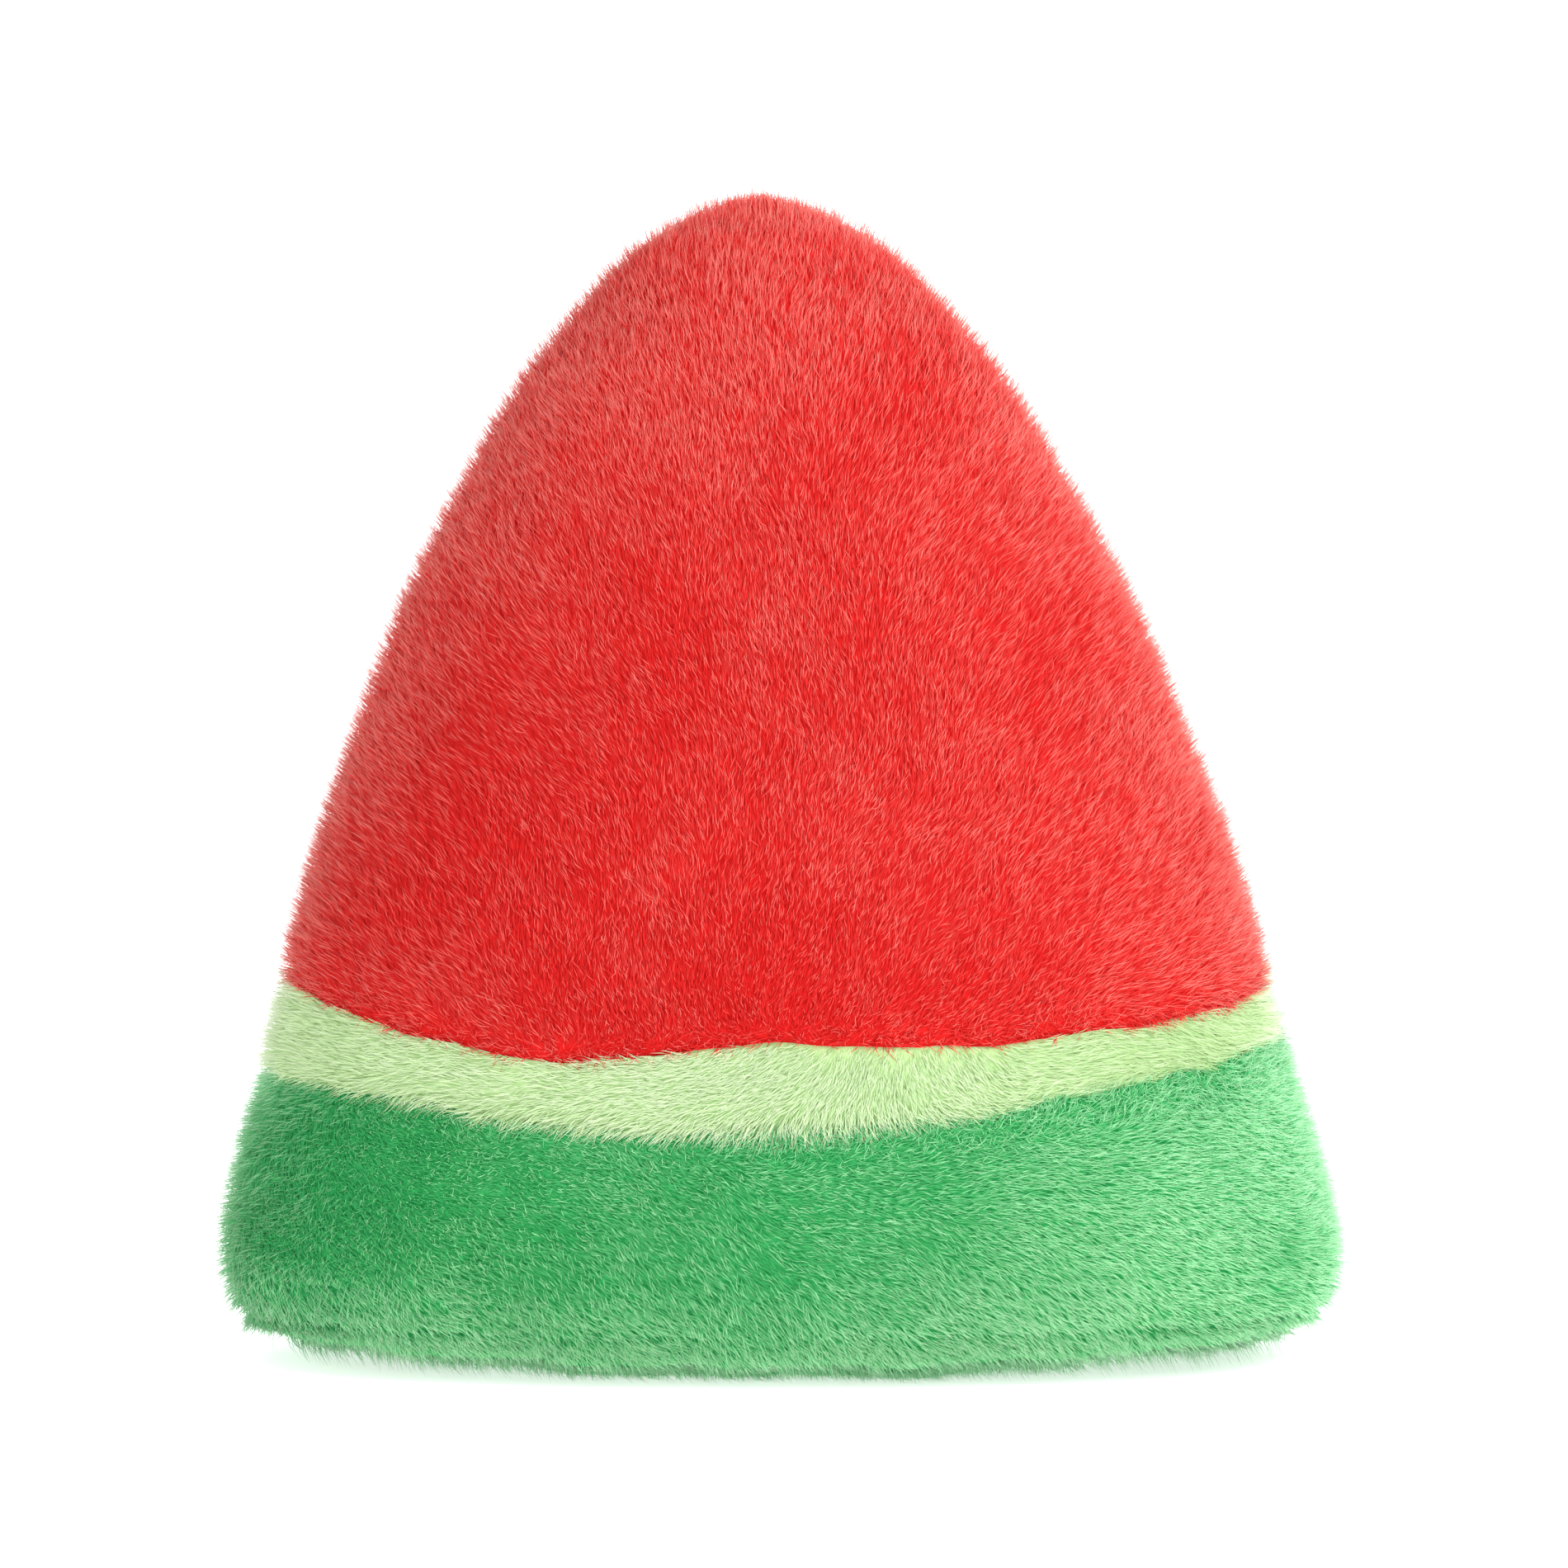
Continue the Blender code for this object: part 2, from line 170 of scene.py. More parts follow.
UPRIGHT_SHARE = 0.14  # strands that stand out of the lay, with painted highlights on their tips
UPRIGHT_LEAN = 34  # they lean less by this
UPRIGHT_GROWTH = 1.12
UPRIGHT_HIGHLIGHTS = (0.2, 1.8)  # their painted highlight, between these shares of their kind's
FLECK_HIGHLIGHTS = {"flesh": 0.30, "rind": 0.24, "skin": 0.46}  # how much lighter they are painted, as highlights
FLECK_GAIN = 1.5  # and the more so, the further the pile's tone is painted lighter than its kind's
AWN_SHARE = 0.09  # fine long fibres that stand up through the pile, painted lightest at the tips
AWN_EDGE_SHARE, AWN_EDGE_REACH = 0.34, 0.1  # and this many more by the side seams
AWN_LEAN = 50
AWN_GROWTH = 1.5
# painted light: how much lighter the awns' tone is
AWN_PAINTED_LIGHT = 0.6
AWN = 0.034 * MM  # their half width

# Tufts: strands that share a cell, with ragged walls, stray and stand alike
TUFT, TUFT_RAGGED, TUFT_RIPPLE = 0.42 * MM, 0.35, 3 * MM
TUFT_KEYS, TUFT_KINDS = np.array((73856093, 19349663, 83492791)), 65536

# How far strands stray from the lay, in degrees: in swirls, by their tuft, and each by itself
WIDE_SWIRL, WIDE_SWIRL_LENGTH = 7, 22 * MM
SMALL_SWIRL, SMALL_SWIRL_LENGTH = 6, 7 * MM
TUFT_STRAY, STRAND_STRAY, BEND_STRAY = 6, 10, 7
LOOSE_STRAY = 1.5  # uprights and awns stray this many times as far
# How far they lean more or less, in the same way, and how much longer or shorter they are
STAND_SWELL, STAND_SWELL_LENGTH = 4, 26 * MM
TUFT_STAND, STRAND_STAND = 3, 6
TUFT_LENGTH, STRAND_LENGTH = 0.04, 0.1

# At the cross seams strands stray this many times further: the flesh's over the rind, and at the
# right the skin's too. The reach is a share of the panel's height
SEAM_LOOSENESS, LOOSE_HOLD = 4.5, 0.3
FLESH_LOOSE_REACH, SKIN_LOOSE_REACH = 0.02, 0.08
SKIN_LOOSE_START, SKIN_LOOSE_LENGTH = 0.4, 0.2
# The rind's strands are longer where they hang over the skin, but not at the right
OVERHANG, OVERHANG_REACH = 0.35, 0.35
OVERHANG_END, OVERHANG_FADE = 0.62, 0.1

# Which way the pile is combed, in degrees. Over the flesh: to the right of straight up, at shares
# of the half width, higher up and down at the seam
FLESH_FAN = ((-1, -0.5, 0, 0.5, 1), (-32, -16, 0, 26, 52))
SEAM_FAN = ((-1, -0.6, -0.2, 0.2, 1), (-64, -56, -24, 50, 78))
SEAM_FAN_REACH = 0.1
# Over the rind: down from straight left, more so low at the left, and turned about at the right
RIND_DROP, RIND_LOW_DROP, RIND_LOW_REACH = 6, 45, 0.4
RIND_TURN, RIND_TURN_START, RIND_TURN_LENGTH = 150, 0.5, 0.18
# Over the skin: down from straight right, more so at the left and low down
SKIN_DROP, SKIN_LEFT_DROP, SKIN_LEFT_REACH = 18, 44, 0.3
SKIN_LOW_DROP, SKIN_LOW_REACH, SKIN_LOW_CURVE = 10, 0.35, 1.5
BACK_DROP, BACK_DROP_REACH = 70, 0.2  # and at the back's right end
BASE_INWARD = 0.3  # under the base: to the right, and inwards by this share

# Each pile's own tone, from 0 to 1, and where the front's is painted lighter or darker, as painted
# sheen and shade on the nap: across, height and reach in mm, and how much
KIND_TONE = {"flesh": 0.29, "rind": 0.58, "skin": 0.40}
PAINTED_LIGHT_PATCHES = {
    "flesh": (
        (-2, 124, 13, 0.26), (-19, 106, 12, 0.24), (-2, 106, 11, 0.14), (-29, 92, 8, 0.12),
        (24, 98, 9, 0.12), (16, 92, 9, 0.06), (22, 74, 12, 0.08), (36, 60, 10, 0.08),
        (-15, 64, 11, -0.06), (-34, 48, 10, -0.08), (-12, 47, 12, -0.08), (-12, 82, 8, -0.06),
        (8, 98, 6, -0.10), (2, 70, 7, -0.08), (27, 75, 6, -0.08), (30, 64, 6, -0.08),
        (-32, 90, 7, 0.10), (36, 66, 6, 0.08), (45, 46, 7, 0.10), (-28, 74, 7, -0.05),
    ),
    "rind": ((-52, 36, 9, -0.26), (-6, 33, 17, 0.34), (42, 36, 16, -0.46)),
    "skin": (
        (-47, 22, 11, -0.24), (-49, 14, 5, -0.12), (48, 19, 17, 0.54), (27, 14, 12, 0.24),
        (51, 13, 4, -0.34), (-56, 7, 6, 0.40), (-40, 6, 9, 0.26), (-10, 26, 6, -0.08),
        (12, 8, 9, 0.16), (33, 9, 5, 0.14), (-22, 15, 5, -0.10), (0, 18, 12, -0.16),
        (-30, 22, 10, -0.08), (16, 21, 7, -0.10),
    ),
}
WIDE_MOTTLE, WIDE_MOTTLE_LENGTH = 0.02, 30 * MM
SMALL_MOTTLE, SMALL_MOTTLE_LENGTH = 0.035, 10 * MM
STREAKS, STREAK_LENGTH = {"flesh": 0.035, "rind": 0.03, "skin": 0.045}, 3.2 * MM
STREAK_DRAW = 0.4  # streaks are drawn out along the lay by this
EDGE_PAINTED_SHEEN, EDGE_REACH, EDGE_CURVE = 0.46, 0.22, 2  # painted sheen: lighter where the pile turns to the side seams
LOW_PAINTED_LIGHT, LOW_REACH = 0.95, 13 * MM  # and painted light from below: lighter close to the base, and under it
TUFT_TONE, STRAND_TONE = 0.03, 0.05


def fade(distance, reach, hold=0):
    """1 at no distance and for a share hold of the reach, then falling evenly to 0."""
    return np.clip(1 + hold - distance / reach, 0, 1)


def ramp(value, start, length):
    """0 up to the start, then rising evenly to 1 over the length."""
    return np.clip((value - start) / length, 0, 1)


# ---- body shape

def catmull_rom(before, start, end, after, share):
    """The smooth curve from start to end, at a share of the way between them."""
    bend = 2 * before - 5 * start + 4 * end - after
    twist = 3 * (start - end) + after - before
    return start + 0.5 * share * (end - before + share * (bend + share * twist))


def smooth_through(values, share):
    """A smooth curve through evenly spaced values, at shares of its length."""
    last = len(values) - 1
    at = np.clip(share, 0, 1) * last
    i = np.minimum(at.astype(int), last - 1)
    before, after = np.maximum(i - 1, 0), np.minimum(i + 2, last)
    return catmull_rom(values[before], values[i], values[i + 1], values[after], at - i)


def rib_at(level):
    """Half width, half depth and height of the body's section: 0 is the base seam, 1 the tip."""
    last = len(RIBS) - 1
    at = np.clip(level, 0, 1) * last
    i = np.minimum(at.astype(int), last - 1)
    ribs = np.vstack((RIBS[:1], RIBS, RIBS[-2:-1] * (-1, -1, 1)))
    along = (at - i)[..., None]
    return catmull_rom(ribs[i], ribs[i + 1], ribs[i + 2], ribs[i + 3], along)


def unit(vectors):
    return vectors / np.maximum(np.linalg.norm(vectors, axis=-1, keepdims=True), 1e-12)


def dot(one, other):
    return np.sum(one * other, axis=-1, keepdims=True)


LEVELS = np.linspace(0, 1, 3000)
OUTLINE = rib_at(LEVELS)
LEVEL_HEIGHTS = OUTLINE[:, 2]
SLOPES = np.gradient(OUTLINE, axis=0)
OUT_OF_WIDTH = unit(np.stack((SLOPES[:, 2], -SLOPES[:, 0]), axis=-1))
OUT_OF_DEPTH = unit(np.stack((SLOPES[:, 2], -SLOPES[:, 1]), axis=-1))


def level_of(height):
    """The level at which the body's side has this height."""
    return np.interp(height, LEVEL_HEIGHTS, LEVELS)


def lift_at(turn, share):
    """How far the ends lift the base, at a share of the way from its middle out to its seam."""
    sides = np.abs(np.cos(turn)) ** BASE_FULLNESS + np.abs(np.sin(turn)) ** BASE_FULLNESS
    across = share * np.cos(turn) * sides ** (-1 / BASE_FULLNESS)
    way = np.maximum(0, np.abs(across) - ROCK_START) / (1 - ROCK_START)
    return (END_LIFT + RIGHT_LIFT * (across > 0)) * way**ROCK_CURVE


def body_point(turn, level, depth=0.0):
    """Points of the body: turn goes round it from +X, and level runs from -1 at the middle of
    the base, over 0 at the base seam, to 1 at the tip. Depth goes in from the pile's tips."""
    half_width, half_depth, height = np.moveaxis(rib_at(level), -1, 0)
    share = np.clip(1 + level, 0, 1)
    base_rise = np.maximum(0, (share - FLAT_SHARE) / (1 - FLAT_SHARE)) ** BASE_CURVE
    height = height * np.where(level < 0, base_rise, 1)
    height = height + lift_at(turn, share) * np.maximum(0, 1 - height / LIFT_REACH) ** 2
    rise = height / HEIGHT
    fullness = BASE_FULLNESS + (TIP_FULLNESS - BASE_FULLNESS) * rise
    sides = np.abs(np.cos(turn)) ** fullness + np.abs(np.sin(turn)) ** fullness
    reach = share * sides ** (-1 / fullness)
    out_x, rise_x = (np.interp(level, LEVELS, OUT_OF_WIDTH[:, k]) for k in (0, 1))
    out_y, rise_y = (np.interp(level, LEVELS, OUT_OF_DEPTH[:, k]) for k in (0, 1))
    x = (half_width - depth * out_x) * np.cos(turn) * reach
    y = (half_depth - depth * out_y) * np.sin(turn) * reach
    sideways = np.cos(turn) ** 2
    under = np.clip(-level / UNDER_SHARE, 0, 1)
    out_z = (rise_x * sideways + rise_y * (1 - sideways)) * (1 - under) - under
    return np.stack((x - TIP_LEAN * rise, y, height - depth * out_z), axis=-1)


def right_seam_turn(level):
    """Where the right side seam runs: a little to the front of the body's widest line."""
    away = (rib_at(level)[..., 2] - SEAM_TURN_HEIGHT) / SEAM_TURN_REACH
    return -SEAM_TURN * np.exp(-(away**2))


def panel_turn(side, across, level):
    """The turn at a share of the way from the left side seam to the right one."""
    left = -math.pi if side == "front" else math.pi
    return left + (right_seam_turn(level) - left) * across


# ---- fabric panels

class Panel:
    """One piece of fabric: a square of across and up shares laid on the body."""

    def __init__(self, name, side, colour, low, high):
        self.name, self.side, self.colour = name, side, colour
        self.kind = "base" if side == "base" else colour
        self.stem = name.rsplit("_", 1)[0]
        self.low, self.high = low, high

    def place(self, across, up):
        """Turn and level at shares across and up the panel."""
        if self.side == "base":
            u, v = 2 * across - 1, 2 * up - 1
            return np.arctan2(v, u), np.maximum(np.abs(u), np.abs(v)) - 1
        low, high = self.low(across), self.high(across)
        level = low + (high - low) * up
        return panel_turn(self.side, across, level), level


def seam_level(heights, across):
    """The level of a cross seam, which wanders a little where the pile hides it."""
    wander = sum(
        share * np.sin(across * waves + height * start)
        for (waves, start, share), height in zip(SEAM_WAVES, heights)
    )
    return level_of(smooth_through(heights, across) + SEAM_WANDER * wander)


def panels():
    """The seven pieces of pile fabric, named as the model's nodes."""
    made = []
    for side in ("front", "back"):
        def flesh(across, heights=FLESH_SEAM[side]):
            return seam_level(heights, across)

        def skin(across, heights=SKIN_SEAM[side]):
            return seam_level(heights, across)

        made.append(Panel(side + "_flesh_panel", side, "flesh", flesh, lambda a: TIP_LEVEL + 0 * a))
        made.append(Panel(side + "_rind_band", side, "rind", skin, flesh))
        made.append(Panel(side + "_skin_panel", side, "skin", lambda a: 0 * a, skin))
    made.append(Panel("base_panel", "base", "skin", None, None))
    return made


def seam_points():
    """Points on the fabric along the seams between the sides' panels, and along the base seam."""
    share = np.linspace(0, 1, SEAM_SAMPLES)
    lines = []
    for side in ("front", "back"):
        for heights in (FLESH_SEAM[side], SKIN_SEAM[side]):
            level = level_of(smooth_through(heights, share))
            lines.append(body_point(panel_turn(side, share, level), level, BACKING_DEPTH))
    lines.append(body_point(np.full(share.shape, math.pi), share, BACKING_DEPTH))
    lines.append(body_point(right_seam_turn(share), share, BACKING_DEPTH))
    return np.vstack(lines), body_point(2 * math.pi * share, 0 * share, BACKING_DEPTH)


SIDE_SEAMS, BASE_SEAM = seam_points()


def distance_to(points, targets):
    """How far each point is from the nearest of the targets."""
    tree = KDTree(len(targets))
    for i, target in enumerate(targets.tolist()):
        tree.insert(target, i)
    tree.balance()
    return np.array([tree.find(point)[2] for point in points.tolist()])


# ---- simulation

def blow_rows():
    """The levels of the simulated grid's rows, without its two poles."""
    base = np.arange(1, BLOW_BASE_ROWS) / BLOW_BASE_ROWS - 1
    side = np.arange(0, BLOW_SIDE_ROWS) / BLOW_SIDE_ROWS
    return np.concatenate((base, side))


def blow_mesh(points, rows):
    """A closed sack: a pole under the base, the rows, and a pole at the tip."""
    faces = []
    columns = BLOW_COLUMNS
    tip = 1 + rows * columns
    for j in range(columns):
        after = (j + 1) % columns
        faces.append((0, 1 + after, 1 + j))
        for i in range(rows - 1):
            start = 1 + i * columns
            faces.append((start + j, start + after, start + columns + after, start + columns + j))
        last = 1 + (rows - 1) * columns
        faces.append((last + j, last + after, tip))
    mesh = bpy.data.meshes.new("sack")
    mesh.from_pydata(points.tolist(), [], faces)
    mesh.update()
    return mesh


def blown_offsets():
    """How far the filling pushes the fabric out between its seams, found by blowing up a sack of
    cloth whose seams are held. Rows from pole to pole, columns round the body."""
    levels = blow_rows()
    turns = 2 * math.pi * np.arange(BLOW_COLUMNS) / BLOW_COLUMNS
    turn, level = np.meshgrid(turns, levels)
    ring = body_point(turn.ravel(), level.ravel(), BACKING_DEPTH)
    poles = body_point(np.zeros(2), np.array((-1.0, 1.0)), BACKING_DEPTH)
    start = np.vstack((poles[:1], ring, poles[1:]))
    offsets = np.zeros_like(start)
    sack = bpy.data.objects.new("sack", blow_mesh(start * BLOW_SCALE, len(levels)))
    bpy.context.scene.collection.objects.link(sack)
    seams = np.vstack((SIDE_SEAMS, BASE_SEAM))
    held = np.exp(-((distance_to(start, seams) / SEAM_HOLD) ** 2))
    group = sack.vertex_groups.new(name="seams")
    for i, weight in enumerate(held):
        group.add([i], float(weight), "REPLACE")
    cloth = sack.modifiers.new("blow", "CLOTH")
    for key, value in CLOTH.items():
        setattr(cloth.settings, key, value)
    cloth.settings.vertex_group_mass = "seams"
    cloth.settings.effector_weights.gravity = 0
    cloth.collision_settings.use_collision = False
    cloth.collision_settings.use_self_collision = False
    scene = bpy.context.scene
    scene.frame_start, scene.frame_end = 1, BLOW_FRAMES
    cloth.point_cache.frame_start, cloth.point_cache.frame_end = 1, BLOW_FRAMES
    for number in range(1, BLOW_FRAMES + 1):
        scene.frame_set(number)
    graph = bpy.context.evaluated_depsgraph_get()
    evaluated = sack.evaluated_get(graph).data
    blown = np.empty(len(start) * 3, np.float32)
    evaluated.vertices.foreach_get("co", blown)
    offsets = blown.reshape(-1, 3) / BLOW_SCALE - start
    bpy.data.objects.remove(sack)
    scene.frame_set(1)
    far = np.linalg.norm(offsets, axis=1, keepdims=True)
    offsets *= np.minimum(1, MOST_PUFF / np.maximum(far, 1e-9))
    inner = offsets[1:-1].reshape(len(levels), BLOW_COLUMNS, 3)
    first = np.repeat(offsets[:1, None], BLOW_COLUMNS, axis=1)
    last = np.repeat(offsets[-1:, None], BLOW_COLUMNS, axis=1)
    field = np.concatenate((first, inner, last))
    for _ in range(BLOW_SMOOTHING):
        field = (np.roll(field, 1, axis=1) + 2 * field + np.roll(field, -1, axis=1)) / 4
        field[1:-1] = (field[:-2] + 2 * field[1:-1] + field[2:]) / 4
    return field


PUFF = blown_offsets()


def puff_at(turn, level):
    """The blown sack's offset at any turn and level."""
    row = np.where(level < 0, (1 + level) * BLOW_BASE_ROWS, BLOW_BASE_ROWS + level * BLOW_SIDE_ROWS)
    row = np.clip(row, 0, len(PUFF) - 1.001)
    column = (turn / (2 * math.pi) % 1) * BLOW_COLUMNS
    i, j = row.astype(int), column.astype(int) % BLOW_COLUMNS
    down, right = (row - i)[..., None], (column - column.astype(int))[..., None]
    after = (j + 1) % BLOW_COLUMNS
    upper = PUFF[i, j] * (1 - right) + PUFF[i, after] * right
    lower = PUFF[i + 1, j] * (1 - right) + PUFF[i + 1, after] * right
    return upper * (1 - down) + lower * down


def fabric_point(turn, level, depth=BACKING_DEPTH):
    """The blown up backing, on its pile side, drawn up a little along the base seam."""
    points = body_point(turn, level, depth) + puff_at(turn, level)
    close = fade(np.abs(points[..., 2] - depth), PUCKER_REACH)
    close = close * np.clip(1 + (level + PUCKER_SHARE) / PUCKER_SHARE, 0, 1)
    across = points[..., 0] / PUCKER_LENGTH
    drawn = PUCKER_DRAW
    for waves, start, share in PUCKER_WAVES:
        drawn = drawn + share * np.sin(waves * across + start)
    points[..., 2] += PUCKER * close * drawn
    return points


# ---- sheets

def ripple(points, wavelength, seed, waves=7):
    """A smooth random field with a spread of about 1: waves of about one length, any way round."""
    random = np.random.default_rng(seed)
    ways = unit(random.normal(size=(waves, 3)))
    lengths = wavelength * random.uniform(0.7, 1.5, waves)
    starts = random.uniform(0, 2 * math.pi, waves)
    phase = points @ (ways / lengths[:, None] * 2 * math.pi).T + starts
    return np.sin(phase).sum(axis=1) * math.sqrt(2 / waves)


def surface_frame(panel, across, up):
    """Points of a panel's fabric, the way out of it, the way across it, and the area that a unit
    of across and up covers."""
    step = 1e-3
    points = fabric_point(*panel.place(across, up))
    beside = fabric_point(*panel.place(np.where(across > 0.5, across - step, across + step), up))
    above = fabric_point(*panel.place(across, np.where(up > 0.5, up - step, up + step)))
    right = (beside - points) * np.where(across > 0.5, -1, 1)[:, None] / step
    rising = (above - points) * np.where(up > 0.5, -1, 1)[:, None] / step
    normal = np.cross(right, rising)
    area = np.linalg.norm(normal, axis=1)
    normal = unit(normal)
    normal *= np.sign(dot(normal, points - MIDDLE))
    if panel.side == "base":
        right = np.repeat([(1.0, 0, 0)], len(points), axis=0)
    return points, normal, unit(right), area


def tucked(points, normal):
    """The fabric's points, turned in where they come close to a seam between the sides' panels."""
    edge = distance_to(points, SIDE_SEAMS)
    return points - normal * (TUCK * np.exp(-((edge / TUCK_REACH) ** 2)))[:, None]


def new_piece(name, mesh, material, panel):
    """An object that stands for a panel's node."""
    mesh.materials.append(material)
    piece = bpy.data.objects.new(name, mesh)
    bpy.context.scene.collection.objects.link(piece)
    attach(piece, "root")
    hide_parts(panel.name)
    return piece


def sheet(panel, layer, finer, outer_rise, inner_rise, material, wave=0.0):
    """A closed sheet between two heights over a panel's backing, with gentle waves on top. Its
    cells are finer than the panel's by a whole number."""
    columns, rows = (finer * cells for cells in SHEET_CELLS[panel.kind])
    across, up = np.meshgrid(np.linspace(0, 1, columns), np.linspace(0, 1, rows))
    points, normal, _, _ = surface_frame(panel, across.ravel(), up.ravel())
    points = tucked(points, normal)
    swell = wave * sum(
        ripple(points, length, SEED + 7 + number) for number, length in enumerate(UNDERFUR_WAVES)
    )
    outer = points + normal * (outer_rise + swell)[:, None]
    outer[:, 2] = np.maximum(outer[:, 2], LOWEST)
    inner = points + normal * inner_rise
    count = columns * rows
    grid = np.arange(count).reshape(rows, columns)
    quads = np.stack((grid[:-1, :-1], grid[:-1, 1:], grid[1:, 1:], grid[1:, :-1]), axis=-1)
    quads = quads.reshape(-1, 4)
    rim = np.concatenate((grid[0, :-1], grid[:-1, -1], grid[-1, :0:-1], grid[:0:-1, 0]))
    after = np.roll(rim, -1)
    walls = np.stack((after, rim, rim + count, after + count), -1)
    faces = np.vstack((quads, quads[:, ::-1] + count, walls))
    name = panel.stem + "_" + layer
    mesh = bpy.data.meshes.new(name)
    mesh.from_pydata(np.vstack((outer, inner)).tolist(), [], faces.tolist())
    form = bmesh.new()
    form.from_mesh(mesh)
    bmesh.ops.recalc_face_normals(form, faces=form.faces)
    form.to_mesh(mesh)
    form.free()
    mesh.shade_smooth()
    return new_piece(name, mesh, material, panel)


def panel_sheets(panel, knit, underfur):
    """The knitted backing of a panel, and the dense underfur on it."""
    backing = sheet(panel, "backing", 1, 0.0, -BACKING, knit)
    sheet(panel, "underfur", 2, UNDERFUR, UNDERFUR_FOOT, underfur, UNDERFUR_WAVE)


# ---- pile

def comb_direction(panel, points, normal, right, across, up):
    """Which way a panel's pile is brushed, in its surface."""
    rising = unit(np.cross(normal, right))
    rising *= np.where(rising[:, 2:] < 0, -1, 1)
    if panel.kind == "base":
        way = right - BASE_INWARD * unit(points * (1, 1, 0))
    elif panel.kind == "flesh":
        x = points[:, 0] / HALF_WIDTH
        low = fade(up, SEAM_FAN_REACH)
        fan = np.interp(x, *FLESH_FAN) * (1 - low) + np.interp(x, *SEAM_FAN) * low
        fan = np.radians(fan)
        way = np.stack((np.sin(fan), 0 * fan, np.cos(fan)), axis=-1)
    elif panel.kind == "rind":
        low, left = fade(up, RIND_LOW_REACH), np.clip(2 - 2 * across, 0, 1)
        about = ramp(across, RIND_TURN_START, RIND_TURN_LENGTH)
        drop = np.radians(RIND_DROP + RIND_LOW_DROP * low * left + RIND_TURN * about)
        way = -right * np.cos(drop)[:, None] - rising * np.sin(drop)[:, None]
    else:
        low = fade(up, SKIN_LOW_REACH) ** SKIN_LOW_CURVE
        left = fade(across, SKIN_LEFT_REACH)
        behind = ramp(across, 1 - BACK_DROP_REACH, BACK_DROP_REACH) * (panel.side == "back")
        drop = SKIN_DROP + SKIN_LEFT_DROP * left * (1 - low) + SKIN_LOW_DROP * low
        drop = np.radians(drop + BACK_DROP * behind)
        way = right * np.cos(drop)[:, None] - rising * np.sin(drop)[:, None]
    return way - normal * dot(way, normal)


def turned(way, normal, angle):
    """The way turned about the normal."""
    c, s = np.cos(angle)[:, None], np.sin(angle)[:, None]
    return way * c + np.cross(normal, way) * s


def tone_with_painted_light(panel, points, across):
    """How light the pile is at each point: its kind's tone with random mottles and streaks, and
    painted light and shade: sheen by the side seams, light from below near and under the base,
    and patches lighter or darker over the front.
    """
    tone_and_painted_light = KIND_TONE[panel.colour] + WIDE_MOTTLE * ripple(points, WIDE_MOTTLE_LENGTH, SEED + 5)
    tone_and_painted_light += SMALL_MOTTLE * ripple(points, SMALL_MOTTLE_LENGTH, SEED + 6)
    drawn_out = (1, 1, STREAK_DRAW) if panel.colour == "flesh" else (STREAK_DRAW, STREAK_DRAW, 1)
    tone_and_painted_light += STREAKS[panel.colour] * ripple(points * drawn_out, STREAK_LENGTH, SEED + 9)
    # Under the base the pile is painted lighter throughout, as painted light from below
    if panel.side == "base":
        return tone_and_painted_light + LOW_PAINTED_LIGHT
    # Painted sheen: lighter towards the side seams
    tone_and_painted_light += EDGE_PAINTED_SHEEN * fade(np.minimum(across, 1 - across), EDGE_REACH) ** EDGE_CURVE
    # Painted light from below: the skin is lighter close to the base
    if panel.colour == "skin":
        tone_and_painted_light += LOW_PAINTED_LIGHT * fade(points[:, 2], LOW_REACH)
    # Painted light and shade: patches over the front, lighter or darker
    if panel.side == "front":
        for x, z, reach, much in PAINTED_LIGHT_PATCHES[panel.colour]:
            gap = np.hypot(points[:, 0] - x * MM, points[:, 2] - z * MM) / (reach * MM)
            tone_and_painted_light = tone_and_painted_light + much * np.exp(-(gap**2))
    return tone_and_painted_light


def roots(panel, density, random):
    """Where a panel's strands stand, evenly spread: shares across and up, points, the way out
    and the way across."""
    probe = np.meshgrid(PROBES, PROBES)
    most = surface_frame(panel, probe[0].ravel(), probe[1].ravel())[3].max() * PROBE_MARGIN
    tries = int(density / MM**2 * most)
    i = np.arange(tries)
    across = (random.uniform() + i * GOLDEN_ACROSS) % 1
    up = (random.uniform() + i * GOLDEN_UP) % 1
    points, normal, right, area = surface_frame(panel, across, up)
    wanted = area / most
    if panel.kind == "base":
        wanted *= np.where(panel.place(across, up)[1] > BASE_INNER, 1, BASE_THINNED)
    kept = random.uniform(size=tries) < wanted
    return [given[kept] for given in (across, up, points, normal, right)]


def seam_looseness(panel, across, up):
    """How many times further strands stray, by where they are on their panel."""
    if panel.kind == "flesh":
        return 1 + SEAM_LOOSENESS * fade(up, FLESH_LOOSE_REACH, LOOSE_HOLD)
    if panel.kind == "skin":
        beneath = fade(1 - up, SKIN_LOOSE_REACH, LOOSE_HOLD)
        return 1 + SEAM_LOOSENESS * (beneath * ramp(across, SKIN_LOOSE_START, SKIN_LOOSE_LENGTH))
    return 1


